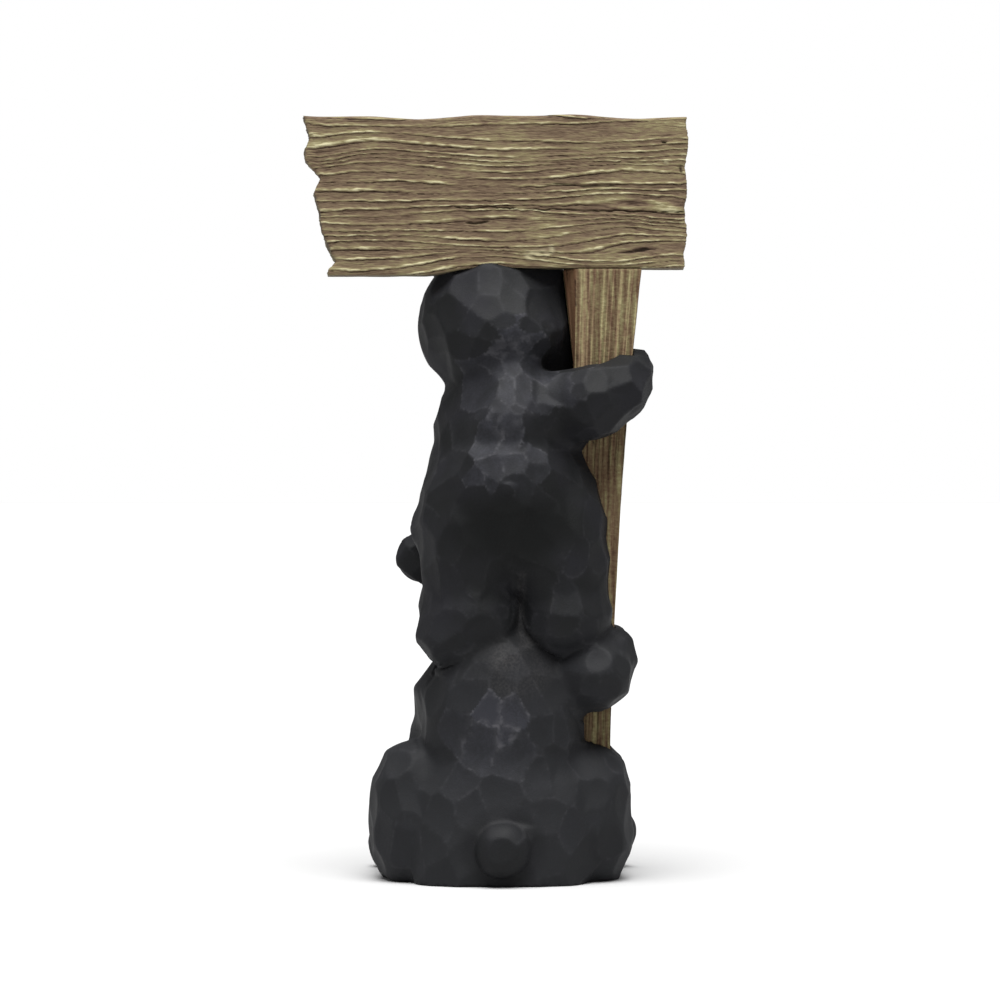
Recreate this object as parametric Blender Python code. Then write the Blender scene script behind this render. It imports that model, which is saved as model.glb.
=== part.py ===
"""Two black bears carved in one piece, with a plank sign. Metres, +Z up.

The bears face -Y. The lower bear sits, the upper bear stands on its shoulders, and both hug
the signpost on their right, at -X. The plank sits on the upper bear's head and on the post.
The origin is on the ground, in the middle of the underside.
"""

import math
from dataclasses import dataclass

import bmesh
import bpy
import numpy as np
from mathutils import Matrix, Vector, noise

# Bears, and the part of their height that the figures are drawn in
BEARS_HEIGHT = 0.410
PART = BEARS_HEIGHT / 410.0
ROUGH_VOXEL = 0.0028
BEARS_TRIANGLES = 6500
SEAT_HEIGHT = 392.0 * PART
BACK_PLANE_Y = 20.0 * PART

# Masses, in parts
MASS_REACH = 20.0
FAR_AWAY = 60.0

# Chisel cuts, in parts
CUT_LATTICE = 10.0
CUT_SPACING_SHARE = 0.80
CUT_TOOL_RADIUS = 100.0
CUT_MEAN_DEPTH = 1.1
CUT_DEPTH_SPREAD = 0.5
CUT_DEPTH_RANGE = (-1.0, 3.6)
CUT_TILT = 0.09
CUT_RIDGE_SHARPNESS = 5.0
CUT_FACING = 0.25

# Cuts that stand out on the backs: X, height and width in parts, then the degrees that each
# one looks up and turns to +X
HEAD_CUTS = (
    (22, 376, 16, 36, 18), (5, 375, 17, 40, 5), (-13, 381, 16, 38, -10), (-11, 369, 16, 33, -8),
    (4, 363, 16, 30, 6), (32, 364, 15, 12, 35), (18, 356, 14, 4, 20), (-7, 357, 14, 12, 0),
    (6, 351, 14, -6, 8), (-20, 355, 15, 2, -12), (-31, 360, 15, 0, -35), (-31, 376, 16, 10, -35),
    (27, 345, 18, -22, 25), (14, 339, 15, -22, 8), (42, 352, 16, -6, 60), (42, 339, 15, -16, 55),
    (-2, 344, 15, -14, 0), (-17, 343, 13, -8, -8), (-38, 346, 15, -5, -40),
)
SHOULDER_CUTS = (
    (-11, 334, 14, 52, 0), (4, 328, 14, 36, 14), (-8, 325, 14, 42, 2), (-26, 326, 15, 34, -14),
    (-26, 338, 9, 14, -20), (-3, 314, 22, 32, 4), (-16, 314, 14, 28, -6), (-27, 314, 14, 25, -14),
    (1, 302, 15, 22, 6), (-13, 301, 13, 6, 0), (-23, 300, 13, 8, -12), (17, 320, 18, 12, 32),
    (29, 316, 15, 4, 55), (16, 298, 16, 10, 30), (4, 293, 14, 20, 10), (-11, 289, 16, 14, 0),
    (31, 294, 15, 4, 52), (-23, 286, 14, 2, -12), (-38, 281, 16, -4, -22), (-33, 291, 15, -14, 0),
)
RUMP_CUTS = (
    (13, 274, 18, 45, 12), (-5, 277, 17, 42, 0), (-25, 273, 15, 25, -18), (8, 263, 18, 32, 8),
    (-11, 265, 16, 30, -4), (18, 253, 14, 25, 16), (-26, 260, 13, 16, -16), (4, 250, 11, 14, 4),
    (-16, 248, 11, 6, -6), (34, 252, 18, -2, 40), (-41, 252, 20, 0, -30), (-40, 271, 15, -2, -30),
    (32, 272, 16, 8, 45), (20, 241, 15, -8, 20), (0, 238, 16, -14, 2),
)
ARM_CUTS = (
    (-46, 321, 18, 34, 0), (-61, 320, 18, 32, -5), (-42, 312, 14, 22, 4), (-75, 324, 15, 26, -25),
    (-63, 305, 19, -8, -4), (-46, 299, 19, -12, 5), (-81, 309, 18, 0, -30), (-90, 325, 15, 12, -50),
    (-70, 293, 18, -26, -10),
)
LOWER_BACK_CUTS = (
    (8, 100, 20, 32, 4), (-9, 100, 16, 26, -6), (-5, 84, 17, 28, -2), (23, 89, 15, 20, 12),
    (14, 79, 16, 18, 6), (-6, 74, 13, 16, -4), (-24, 89, 16, 14, -16), (-23, 72, 18, 10, -12),
    (-39, 77, 16, 6, -22), (-20, 110, 16, 14, -16), (-2, 25, 23, 0, 0), (25, 68, 13, 8, 12),
    (-1, 62, 16, 6, 0), (17, 56, 16, 2, 8), (42, 73, 16, 10, 26), (36, 53, 18, 0, 20),
    (-28, 53, 20, -2, -14), (19, 114, 18, 22, 12), (-2, 119, 16, 24, 0), (16, 130, 18, 30, 12),
    (-9, 132, 16, 32, -4),
)
PLACED_CUTS = HEAD_CUTS + SHOULDER_CUTS + RUMP_CUTS + ARM_CUTS + LOWER_BACK_CUTS
PLACED_CUT_DEPTH = 1.3
PLACED_CUT_LEAN = 0.12

# Plank
BOARD_LENGTH = 0.2485
BOARD_HEIGHT = 0.0977
BOARD_THICKNESS = 0.022
BOARD_TORN_END_X = 126.0 * PART
BOARD_SAG = 0.0045
BOARD_SAG_FROM_X = 0.012
BOARD_SAG_TO_X = 0.050
BOARD_TOP_WAVES = ((0.0011, 38.0, 2.3), (0.0006, 95.0, 0.0))
BOARD_SAWN_INSET = (0.0022, 0.0018, 0.0008, 21.0)
BOARD_GRAIN_ROWS = 42
BOARD_COLUMNS = 13
BOARD_GRAIN_DEPTH = 0.0019
BOARD_GRAIN_WANDER = 0.0030
BOARD_EDGE_WEAR = 0.0013

# Post
POST_WIDTH_TOP = 0.0418
POST_WIDTH_FOOT = 0.0285
POST_DEPTH = 0.028
POST_INNER_X_TOP = -49.4 * PART
POST_INNER_X_FOOT = -42.0 * PART
POST_FOOT_Z = 65.0 * PART
POST_TAPER_CURVE = 2.2
POST_CHAMFER_TOP = 0.0070
POST_CHAMFER = 0.0010
POST_CHAMFER_RUN = 0.060
POST_CHAMFER_DEPTH = 0.010
POST_GRAIN_DEPTH = 0.0009
POST_STATIONS = 12
POST_FACE_STEPS = (8, 4, 2, 8, 6)

# Fits
SEAT_GAP = 0.0004
CUTTER_MARGIN = 0.060


@dataclass(frozen=True)
class Ball:
    """A rounded mass, in parts of the bears' height.

    It is an ellipsoid at a square of 2, and boxier above that.
    """

    centre: tuple
    radii: tuple
    blend: float = 9.0
    cut: float = 18.0
    square: float = 2.0

    def distance(self, points):
        """Roughly how far each point is outside the mass."""
        radii = np.array(self.radii)
        share = np.abs(points - np.array(self.centre)) / radii
        level = (share**self.square).sum(axis=1) ** (1.0 / self.square)
        slope = np.linalg.norm(share ** (self.square - 1.0) / radii, axis=1)
        return (level - 1.0) * level ** (self.square - 1.0) / np.maximum(slope, 1e-9)

    def span(self):
        """The mass's lowest and highest levels."""
        return self.centre[2] - self.radii[2], self.centre[2] + self.radii[2]

    def balls(self):
        """The balls that fill the mass: the centre, the radii and the square of each."""
        return [(self.centre, self.radii, self.square)]


@dataclass(frozen=True)
class Limb:
    """A rounded mass that tapers from one ball to another."""

    start: tuple
    start_radius: float
    end: tuple
    end_radius: float
    blend: float = 6.0
    cut: float = 14.0

    def distance(self, points):
        """How far each point is outside the limb."""
        start = np.array(self.start)
        along = np.array(self.end) - start
        share = np.clip((points - start) @ along / (along @ along), 0.0, 1.0)
        radius = self.start_radius + share * (self.end_radius - self.start_radius)
        return np.linalg.norm(points - start - share[:, None] * along, axis=1) - radius

    def span(self):
        """The limb's lowest and highest levels."""
        low = min(self.start[2] - self.start_radius, self.end[2] - self.end_radius)
        high = max(self.start[2] + self.start_radius, self.end[2] + self.end_radius)
        return low, high

    def balls(self):
        """The balls that fill the limb: the centre, the radii and the square of each."""
        start = Vector(self.start)
        end = Vector(self.end)
        least = min(self.start_radius, self.end_radius)
        steps = max(2, math.ceil((end - start).length / (0.4 * least)))
        found = []
        for step in range(steps + 1):
            share = step / steps
            radius = self.start_radius + share * (self.end_radius - self.start_radius)
            found.append((tuple(start.lerp(end, share)), (radius,) * 3, 2.0))
        return found


def lower_bear():
    """The sitting bear's masses. Its right is at -X, where its arm goes round the post."""
    grip = post_outer_x(150.0 * PART) / PART
    front = (BACK_PLANE_Y - POST_DEPTH) / PART
    masses = [
        Ball((-2, 10, 98), (52.5, 47, 56), cut=24, square=2.5),
        Ball((-1, -14, 71), (52, 47, 50)),
        Ball((-1, 20, 32), (60, 42, 54), cut=24, square=3.0),
        Ball((0, 24, 2), (54, 40, 60), cut=24, square=3.0),
        Ball((2, 0, 6), (74, 40, 34)),
        Limb((0, 20, 132), 34, (-1, -14, 161), 40, blend=12, cut=18),
        Ball((-1, -34, 172), (54.5, 48, 52), cut=20),
        Limb((-1, -60, 161), 27, (-1, -86, 156), 18, blend=8),
        Ball((-1, -103, 163), (10, 6, 7.5), blend=2, cut=9),
        Ball((-2, 62, 23), (19, 15, 19), blend=1.0, cut=30),
        Ball((65, -60, 16), (23, 18, 24), blend=5, cut=14),
        Ball((-68, -58, 22), (22.5, 18, 24), blend=5, cut=14),
    ]
    for side in (1, -1):
        masses += [
            Ball((side * 48 - 1, 4, 40), (36.5, 44, 50), blend=5, cut=22, square=2.6),
            Limb((side * 55, -6, 36), 26, (side * 60, -38, 30), 22, blend=8),
            Limb((side * 61, -36, 28), 21, (side * 64, -58, 16), 16),
            Ball((side * 52.5, -28, 205), (15, 9, 17), blend=4, cut=11),
            Ball((side * 19, -76, 183), (6, 5, 6), blend=3, cut=8),
        ]
    masses += [
        Limb((34, 4, 118), 21, (39, -22, 90), 18),
        Limb((39, -22, 90), 18, (38, -50, 77), 15),
        Ball((36, -56, 73), (17, 14, 13), blend=4),
        Limb((-36, 16, 124), 23, (grip + 13.5, 28, 132), 22.5),
        Limb((grip + 11.5, 27, 134), 22.5, (grip + 5, 14, 143), 19),
        Limb((grip + 4, 13, 145), 17, (grip + 2, front - 4, 149), 14),
        Ball((grip + 12, front - 11, 148), (20, 11, 15), blend=4),
        Limb((-13.5, 11, 202), 9, (-13.5, 17, 150), 23, blend=1.5),
    ]
    return masses


def upper_bear():
    """The standing bear's masses. Its right arm goes round the post."""
    grip = post_outer_x(320.0 * PART) / PART
    front = (BACK_PLANE_Y - POST_DEPTH) / PART
    masses = [
        Ball((5, -12, 357), (47.5, 48, 49), cut=23),
        Ball((-2, 14, 350), (38, 27, 22), blend=12, cut=18),
        Ball((-20, -10, 354), (31, 23, 54), blend=10, cut=18),
        Limb((5, -42, 345), 25, (5, -66, 340), 17, blend=8),
        Ball((5, -82, 347), (9.5, 6, 7), blend=2, cut=9),
        Limb((3, -4, 322), 32, (0, 3, 296), 37, blend=8, cut=17),
        Limb((-8, 12, 341), 16, (-7, 30, 290), 29, blend=6, cut=15),
        Ball((-4, 6, 274), (43, 40, 52), cut=18, square=2.3),
        Ball((-7, 4, 266), (54, 36, 42)),
        Ball((-7, 8, 236), (57, 47, 54), blend=5, cut=22, square=2.3),
        Ball((-5, 25, 254), (41, 41, 36), blend=6, cut=16, square=2.2),
        Ball((-7, 4, 224), (64, 44, 32), cut=22),
        Ball((18, 14, 220), (34, 41, 48), blend=6, cut=22, square=2.4),
        Ball((-35, 13, 218), (33, 41, 50), blend=6, cut=22, square=2.4),
        Ball((-6, -8, 255), (46, 42, 44)),
        Ball((-4, 62, 251), (10, 8, 8), blend=2, cut=12),
        Limb((19, 17, 200), 32, (19, 22, 172), 31, cut=18),
        Limb((32, 30, 158), 21, (8, 32, 166), 19, blend=9, cut=17),
        Limb((-42, 18, 200), 29, (-42, 23, 174), 28, cut=18),
        Ball((-43, 26, 166), (28, 26, 22), blend=9, cut=17),
        Limb((-24, 16, 298), 28, (-56, 30, 305), 23, cut=16),
        Limb((-58, 31, 305), 22.5, (grip + 10, 27, 313), 20, cut=16),
        Limb((grip + 2.5, 15, 321), 17, (grip - 2, front - 4, 329), 14),
        Ball((grip + 12, front - 12, 330), (20, 12, 15), blend=4),
        Limb((21, 0, 295), 21, (29, -30, 273), 15),
        Limb((29, -30, 273), 14, (24, -54, 239), 12),
        Ball((23, -58, 233), (15, 15, 11), blend=4),
    ]
    for side in (1, -1):
        masses += [
            Ball((5 + side * 29, -24, 398), (13.5, 8, 13.5), blend=4, cut=9),
            Ball((5 + side * 17, -53, 364), (5.5, 5, 5.5), blend=3, cut=8),
        ]
    return masses


def smooth_union(first, second, blend):
    """Joins two distances with a fillet about a quarter of blend deep."""
    reach = np.maximum(blend - np.abs(first - second), 0.0) / blend
    return np.minimum(first, second) - reach**2 * blend / 4.0


def figure_distance(masses, points):
    """How far each point is outside one bear. Each mass counts for the levels near it."""
    rising = np.argsort(points[:, 2])
    levels = points[rising, 2]
    joined = np.full(len(points), FAR_AWAY)
    for mass in masses:
        low, high = mass.span()
        first = np.searchsorted(levels, low - MASS_REACH)
        last = np.searchsorted(levels, high + MASS_REACH)
        near = rising[first:last]
        joined[near] = smooth_union(joined[near], mass.distance(points[near]), mass.blend)
    return joined


def bears_distance(points):
    """How far each point is outside the pair of bears."""
    crease_blend = 3.0
    return smooth_union(
        figure_distance(lower_bear(), points),
        figure_distance(upper_bear(), points),
        crease_blend,
    )


def outward(points):
    """The unit normals of the figures' smooth surface."""
    step = 0.2
    slope = np.empty_like(points)
    for axis in range(3):
        shift = np.zeros(3)
        shift[axis] = step
        slope[:, axis] = bears_distance(points + shift) - bears_distance(points - shift)
    return slope / np.maximum(np.linalg.norm(slope, axis=1, keepdims=True), 1e-9)


def settle(points, passes=5):
    """Moves points along the normals until they lie on the smooth surface."""
    longest_step = 4.0
    for _ in range(passes):
        away = np.clip(bears_distance(points), -longest_step, longest_step)
        points = points - away[:, None] * outward(points)
    return points


def placed_cuts():
    """The cuts that stand out on the backs: their centres, widths and leans."""
    behind = 110.0
    safe_share = 0.8
    longest_step = 18.0
    rows = np.array(PLACED_CUTS, dtype=float)
    centres = np.column_stack((rows[:, 0], np.full(len(rows), behind), rows[:, 1]))
    for _ in range(60):
        centres[:, 1] -= np.clip(safe_share * bears_distance(centres), 0.0, longest_step)
    centres = settle(centres, passes=3)
    up, turn = np.radians(rows[:, 3:]).T
    wanted = np.column_stack((np.sin(turn) * np.cos(up), np.cos(turn) * np.cos(up), np.sin(up)))
    lean = wanted - outward(centres)
    size = np.maximum(np.linalg.norm(lean, axis=1, keepdims=True), 1e-9)
    return centres, rows[:, 2], lean * np.minimum(1.0, PLACED_CUT_LEAN / size)


def all_cuts():
    """Every chisel cut: the centres, depths and leans of the placed ones and of the rest."""
    draw = np.random.default_rng(7)
    low = np.array((-110.0, -125.0, -12.0))
    high = np.array((95.0, 100.0, 425.0))
    counts = np.ceil((high - low) / CUT_LATTICE).astype(int)
    lattice = np.stack(np.meshgrid(*map(np.arange, counts), indexing="ij"), axis=-1)
    points = low + CUT_LATTICE * (lattice.reshape(-1, 3) + draw.random((lattice[..., 0].size, 3)))
    points = points[np.abs(bears_distance(points)) < 0.6 * CUT_LATTICE]
    points = settle(points)
    points = points[np.abs(bears_distance(points)) < 0.5]

    masses = lower_bear() + upper_bear()
    nearest = np.argmin([np.abs(mass.distance(points)) for mass in masses], axis=0)
    point_widths = np.array([mass.cut for mass in masses])[nearest]
    centres, widths, placed_leans = placed_cuts()
    placed = len(centres)
    for index in draw.permutation(len(points)):
        gaps = np.linalg.norm(centres - points[index], axis=1)
        if np.all(gaps > CUT_SPACING_SHARE * 0.5 * (widths + point_widths[index])):
            centres = np.vstack((centres, points[index]))
            widths = np.append(widths, point_widths[index])

    rest = len(centres) - placed
    rest_depths = CUT_MEAN_DEPTH + CUT_DEPTH_SPREAD * draw.uniform(-1, 1, rest)
    depths = np.concatenate((np.full(placed, PLACED_CUT_DEPTH), rest_depths))
    leans = np.vstack((placed_leans, CUT_TILT * draw.uniform(-1, 1, (rest, 3))))
    return centres, depths, leans


def chisel(points):
    """Cuts the smooth surface back to shallow facets, as a gouge leaves them."""
    centres, depths, leans = all_cuts()
    facing = outward(centres)
    normals = outward(points)
    moved = np.empty_like(points)
    batch = 4000
    for first in range(0, len(points), batch):
        rows = slice(first, first + batch)
        offset = points[rows, None, :] - centres
        above = np.einsum("vcx,cx->vc", offset, facing)
        lean = np.einsum("vcx,cx->vc", offset, leans)
        span = np.einsum("vcx,vcx->vc", offset, offset)
        depth = depths + np.minimum(above, 0.0) + lean - span / (2.0 * CUT_TOOL_RADIUS)
        depth[normals[rows] @ facing.T < CUT_FACING] = -np.inf
        deepest = depth.max(axis=1, keepdims=True)
        weight = np.exp(CUT_RIDGE_SHARPNESS * (depth - deepest)).sum(axis=1)
        depth = deepest[:, 0] + np.log(weight) / CUT_RIDGE_SHARPNESS
        depth = np.clip(depth, *CUT_DEPTH_RANGE)
        moved[rows] = points[rows] - depth[:, None] * normals[rows]
    return moved


def clear_scene():
    """Removes every object that is already in the scene."""
    for thing in list(bpy.data.objects):
        bpy.data.objects.remove(thing)


def finish(name, colour, roughness):
    """A painted surface: one material of that colour and roughness."""
    material = bpy.data.materials.new(name)
    material.use_nodes = True
    shader = material.node_tree.nodes["Principled BSDF"]
    shader.inputs["Base Color"].default_value = (*colour, 1.0)
    shader.inputs["Roughness"].default_value = roughness
    shader.inputs["Metallic"].default_value = 0.0
    return material


def add_object(name, mesh, material=None):
    """Links an object made from a mesh or a bmesh."""
    if isinstance(mesh, bmesh.types.BMesh):
        made = bpy.data.meshes.new(name)
        mesh.to_mesh(made)
        mesh.free()
        mesh = made
    thing = bpy.data.objects.new(name, mesh)
    bpy.context.scene.collection.objects.link(thing)
    if material:
        mesh.materials.clear()
        mesh.materials.append(material)
    return thing


def evaluated_mesh(thing):
    """A copy of the object's mesh with its modifiers applied. The object is removed."""
    bpy.context.view_layer.update()
    graph = bpy.context.evaluated_depsgraph_get()
    mesh = bpy.data.meshes.new_from_object(thing.evaluated_get(graph))
    bpy.data.objects.remove(thing)
    return mesh


def rough_bears():
    """The masses as balls, fused into one closed skin."""
    skin = bmesh.new()
    for mass in lower_bear() + upper_bear():
        for centre, radii, square in mass.balls():
            ball = bmesh.ops.create_icosphere(skin, subdivisions=3, radius=1.0)["verts"]
            for vertex in ball:
                vertex.co /= sum(abs(side) ** square for side in vertex.co) ** (1.0 / square)
            place = Matrix.Translation(Vector(centre)) @ Matrix.Diagonal((*radii, 1.0))
            bmesh.ops.transform(skin, matrix=place, verts=ball)
    bmesh.ops.scale(skin, vec=(PART,) * 3, verts=skin.verts)
    thing = add_object("rough_bears", skin)
    fuse = thing.modifiers.new("fuse", "REMESH")
    fuse.mode = "VOXEL"
    fuse.voxel_size = ROUGH_VOXEL
    return evaluated_mesh(thing)


def shape_bears(mesh):
    """Draws the rough skin onto the smooth figures, then cuts the facets."""
    coordinates = np.empty(len(mesh.vertices) * 3)
    mesh.vertices.foreach_get("co", coordinates)
    points = settle(coordinates.reshape(-1, 3) / PART)
    points = chisel(points)
    mesh.vertices.foreach_set("co", (points * PART).ravel())
    mesh.update()


def board_underside(x):
    """Height of the plank's lower edge at x: level on its seats, sagging towards the torn end."""
    share = (x - BOARD_SAG_FROM_X) / (BOARD_SAG_TO_X - BOARD_SAG_FROM_X)
    share = min(max(share, 0.0), 1.0)
    return SEAT_HEIGHT - BOARD_SAG * share * share * (3.0 - 2.0 * share)


def board_top(x):
    """Height of the plank's upper edge at x, with a slow wave."""
    waves = (size * math.sin(x * turns + start) for size, turns, start in BOARD_TOP_WAVES)
    return SEAT_HEIGHT + BOARD_HEIGHT + sum(waves)


def torn_inset(share):
    """How far the torn end falls short of the plank's full length, at a share of its height."""
    tears = (
        (0.000, 0.0160),
        (0.025, 0.0155),
        (0.090, 0.0205),
        (0.130, 0.0186),
        (0.280, 0.0115),
        (0.420, 0.0103),
        (0.520, 0.0070),
        (0.610, 0.0110),
        (0.720, 0.0010),
        (0.790, 0.0014),
        (0.865, 0.0040),
        (1.000, 0.0),
    )
    for (low, low_inset), (high, high_inset) in zip(tears, tears[1:]):
        if share <= high:
            return low_inset + (share - low) / (high - low) * (high_inset - low_inset)
    return tears[-1][1]


def sawn_inset(share):
    """How far the sawn end falls short, at a share of the plank's height."""
    least, slope, wave, turns = BOARD_SAWN_INSET
    return least + slope * (1.0 - share) + wave * math.sin(share * turns)


def grain_wander(x, share):
    """How far a line of grain strays up or down at x, none of it at the plank's edges."""
    slow_turns = (11.0, 2.6)
    quick_turns = (34.0, 9.0)
    quick_share = 0.35
    edge_share = 0.05
    slow = noise.noise(Vector((x * slow_turns[0], share * slow_turns[1], 4.0)))
    quick = noise.noise(Vector((x * quick_turns[0], share * quick_turns[1], 7.0)))
    from_edge = min(1.0, share / edge_share, (1.0 - share) / edge_share)
    return BOARD_GRAIN_WANDER * (slow + quick_share * quick) * from_edge


def grain_depth(x, row):
    """How deep the plank's face is cut at x in one row of the grain."""
    strength_turns = (9.0, 2.9)
    fleck_turns = 30.0
    fleck_share = 0.25
    strength = 0.5 + noise.noise(Vector((x * strength_turns[0], row * strength_turns[1], 9.0)))
    fleck = abs(noise.noise(Vector((x * fleck_turns, row, 1.0))))
    return BOARD_GRAIN_DEPTH * (row % 2 * max(strength, 0.1) + fleck_share * fleck)


def build_board(material):
    """The plank: one row of faces for each ridge and each groove of the grain."""
    plank = bmesh.new()
    rows = BOARD_GRAIN_ROWS
    columns = BOARD_COLUMNS
    bmesh.ops.create_grid(plank, x_segments=columns, y_segments=rows, size=0.5)
    back = list(plank.faces)
    grown = bmesh.ops.extrude_face_region(plank, geom=back, use_keep_orig=True)
    front = {item for item in grown["geom"] if isinstance(item, bmesh.types.BMVert)}
    far_end = BOARD_TORN_END_X - BOARD_LENGTH
    for vertex in plank.verts:
        along = vertex.co.x + 0.5
        share = vertex.co.y + 0.5
        row = round(share * rows)
        at_edge = row in (0, rows) or along in (0.0, 1.0)
        left = far_end + sawn_inset(share)
        right = BOARD_TORN_END_X - torn_inset(share)
        x = left + along * (right - left)
        z = board_underside(x) + share * (board_top(x) - board_underside(x))
        z += grain_wander(x, share)
        depth = BOARD_EDGE_WEAR if at_edge else grain_depth(x, row)
        y = BACK_PLANE_Y - depth
        if vertex in front:
            y = BACK_PLANE_Y - BOARD_THICKNESS + depth
        vertex.co = (x, y, z)
    bmesh.ops.recalc_face_normals(plank, faces=plank.faces)
    return add_object("sign_board", plank, material)


def board_seat_cutter():
    """The room that the plank takes out of the upper bear's head, open to the back."""
    seat = bmesh.new()
    columns = 24
    bmesh.ops.create_grid(seat, x_segments=columns, y_segments=1, size=0.5)
    for vertex in seat.verts:
        x = (vertex.co.x + 0.5) * BOARD_LENGTH + BOARD_TORN_END_X - BOARD_LENGTH
        high = vertex.co.y > 0.0
        z = SEAT_HEIGHT + CUTTER_MARGIN if high else board_underside(x) - SEAT_GAP
        vertex.co = (x, BACK_PLANE_Y + CUTTER_MARGIN, z)
    grown = bmesh.ops.extrude_face_region(seat, geom=list(seat.faces), use_keep_orig=True)
    for item in grown["geom"]:
        if isinstance(item, bmesh.types.BMVert):
            item.co.y = BACK_PLANE_Y - BOARD_THICKNESS - SEAT_GAP
    bmesh.ops.recalc_face_normals(seat, faces=seat.faces)
    return hide(add_object("board_seat_cutter", seat))


def post_inner_x(z):
    """Where the post's inner side is, at height z."""
    share = (z - POST_FOOT_Z) / (SEAT_HEIGHT - POST_FOOT_Z)
    return POST_INNER_X_FOOT + share * (POST_INNER_X_TOP - POST_INNER_X_FOOT)


def post_outer_x(z):
    """Where the post's outer side is, at height z. It tapers most near the top."""
    share = max(0.0, (z - POST_FOOT_Z) / (SEAT_HEIGHT - POST_FOOT_Z))
    width = POST_WIDTH_FOOT + share**POST_TAPER_CURVE * (POST_WIDTH_TOP - POST_WIDTH_FOOT)
    return post_inner_x(z) - width


def post_section(z, grow=0.0):
    """The post's corners at height z, anticlockwise from above, grown by a clearance."""
    outer = post_outer_x(z)
    inner = post_inner_x(z)
    flare = max(0.0, 1.0 - (SEAT_HEIGHT - z) / POST_CHAMFER_RUN)
    chamfer = POST_CHAMFER + flare * (POST_CHAMFER_TOP - POST_CHAMFER)
    back = BACK_PLANE_Y
    front = back - POST_DEPTH
    slant = grow * POST_CHAMFER_DEPTH / math.hypot(chamfer, POST_CHAMFER_DEPTH)
    return [
        Vector((outer - grow, front - grow, z)),
        Vector((inner + chamfer + grow, front - grow, z)),
        Vector((inner + chamfer + grow, back - POST_CHAMFER_DEPTH + slant, z)),
        Vector((inner + slant, back + grow, z)),
        Vector((outer - grow, back + grow, z)),
    ]


def lift_sections(rings):
    """Bridges closed rings of points into one solid with flat ends."""
    solid = bmesh.new()
    previous = None
    for ring in rings:
        vertices = [solid.verts.new(point) for point in ring]
        if previous is None:
            solid.faces.new(vertices)
        else:
            for index, vertex in enumerate(vertices):
                after = (index + 1) % len(vertices)
                solid.faces.new((previous[index], previous[after], vertices[after], vertex))
        previous = vertices
    solid.faces.new(previous)
    bmesh.ops.recalc_face_normals(solid, faces=solid.faces)
    return solid


def grained_ring(z):
    """The post's section with grooves of upright grain in its faces."""
    corners = post_section(z)
    centre = sum(corners, Vector()) / len(corners)
    ring = []
    for index, (corner, steps) in enumerate(zip(corners, POST_FACE_STEPS)):
        following = corners[(index + 1) % len(corners)]
        for step in range(steps):
            point = corner.lerp(following, step / steps)
            spot = Vector((index * 5.0 + step * 1.3, z * 14.0, 2.0))
            depth = POST_GRAIN_DEPTH * (step % 2 + 0.35 + noise.noise(spot))
            inwards = (centre - point).normalized()
            ring.append(point + max(depth, 0.0) * inwards)
    return ring


def post_heights(foot, top):
    """The heights of the post's sections, one of them where its chamfer starts to flare."""
    heights = [foot + (top - foot) * station / POST_STATIONS for station in range(POST_STATIONS + 1)]
    flare_start = SEAT_HEIGHT - POST_CHAMFER_RUN
    nearest = min(range(len(heights)), key=lambda index: abs(heights[index] - flare_start))
    heights[nearest] = flare_start
    return heights


def build_post(material):
    """The tapering post, from its socket in the haunch to the plank's underside."""
    heights = post_heights(POST_FOOT_Z, SEAT_HEIGHT - SEAT_GAP)
    return add_object("signpost", lift_sections(map(grained_ring, heights)), material)


def post_cutter():
    """The room that the post takes out of the bears, up to above the head."""
    heights = post_heights(POST_FOOT_Z - SEAT_GAP, SEAT_HEIGHT + SEAT_GAP)
    rings = [post_section(z, grow=SEAT_GAP) for z in heights]
    return hide(add_object("post_cutter", lift_sections(rings)))


def ground_cutter():
    """Everything under the ground, which makes the bears' flat underside."""
    block = bmesh.new()
    bmesh.ops.create_cube(block, size=BEARS_HEIGHT)
    bmesh.ops.translate(block, vec=(0.0, 0.0, -BEARS_HEIGHT / 2.0), verts=block.verts)
    return hide(add_object("ground_cutter", block))


def hide(cutter):
    """Marks an object as a helper that isn't part of the model."""
    cutter.hide_render = True
    cutter.display_type = "WIRE"
    return cutter


def build_bears(material):
    """The bears: fused masses, faceted by cuts, less the ground, the post and the plank."""
    mesh = rough_bears()
    shape_bears(mesh)
    dense = add_object("dense_bears", mesh)
    thin = dense.modifiers.new("thin", "DECIMATE")
    thin.use_collapse_triangulate = True
    thin.ratio = BEARS_TRIANGLES / sum(len(face.vertices) - 2 for face in mesh.polygons)
    bears = add_object("bears", evaluated_mesh(dense), material)
    for cutter in (ground_cutter(), post_cutter(), board_seat_cutter()):
        cut = bears.modifiers.new(cutter.name, "BOOLEAN")
        cut.operation = "DIFFERENCE"
        cut.object = cutter
    return bears


def main():
    """Builds the three pieces."""
    clear_scene()
    black = finish("black_paint", (0.020, 0.021, 0.024), 0.55)
    plank_paint = finish("plank_paint", (0.27, 0.21, 0.12), 0.75)
    post_paint = finish("post_paint", (0.25, 0.17, 0.09), 0.75)
    build_bears(black)
    build_post(post_paint)
    build_board(plank_paint)


main()
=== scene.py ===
"""The finished look of two black carved bears that hold up a plank sign on a post.

The bears repeat the masses and the chisel cuts of the solid at a finer grain, with claws, ears
and faces cut in. The plank and the post get their grain as relief, and every finish is painted
on by height, so that crests are pale and cuts are dark; on the plank that is partly painted
highlight on the crests and painted shade in the cuts. Metres, +Z up, the faces look to -Y.
"""

import logging
import math
from collections.abc import Callable, Iterable, Sequence
from dataclasses import dataclass, field
from enum import Enum

import bmesh
import bpy
import numpy as np
from mathutils import Matrix, Vector
from mathutils.bvhtree import BVHTree


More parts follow.
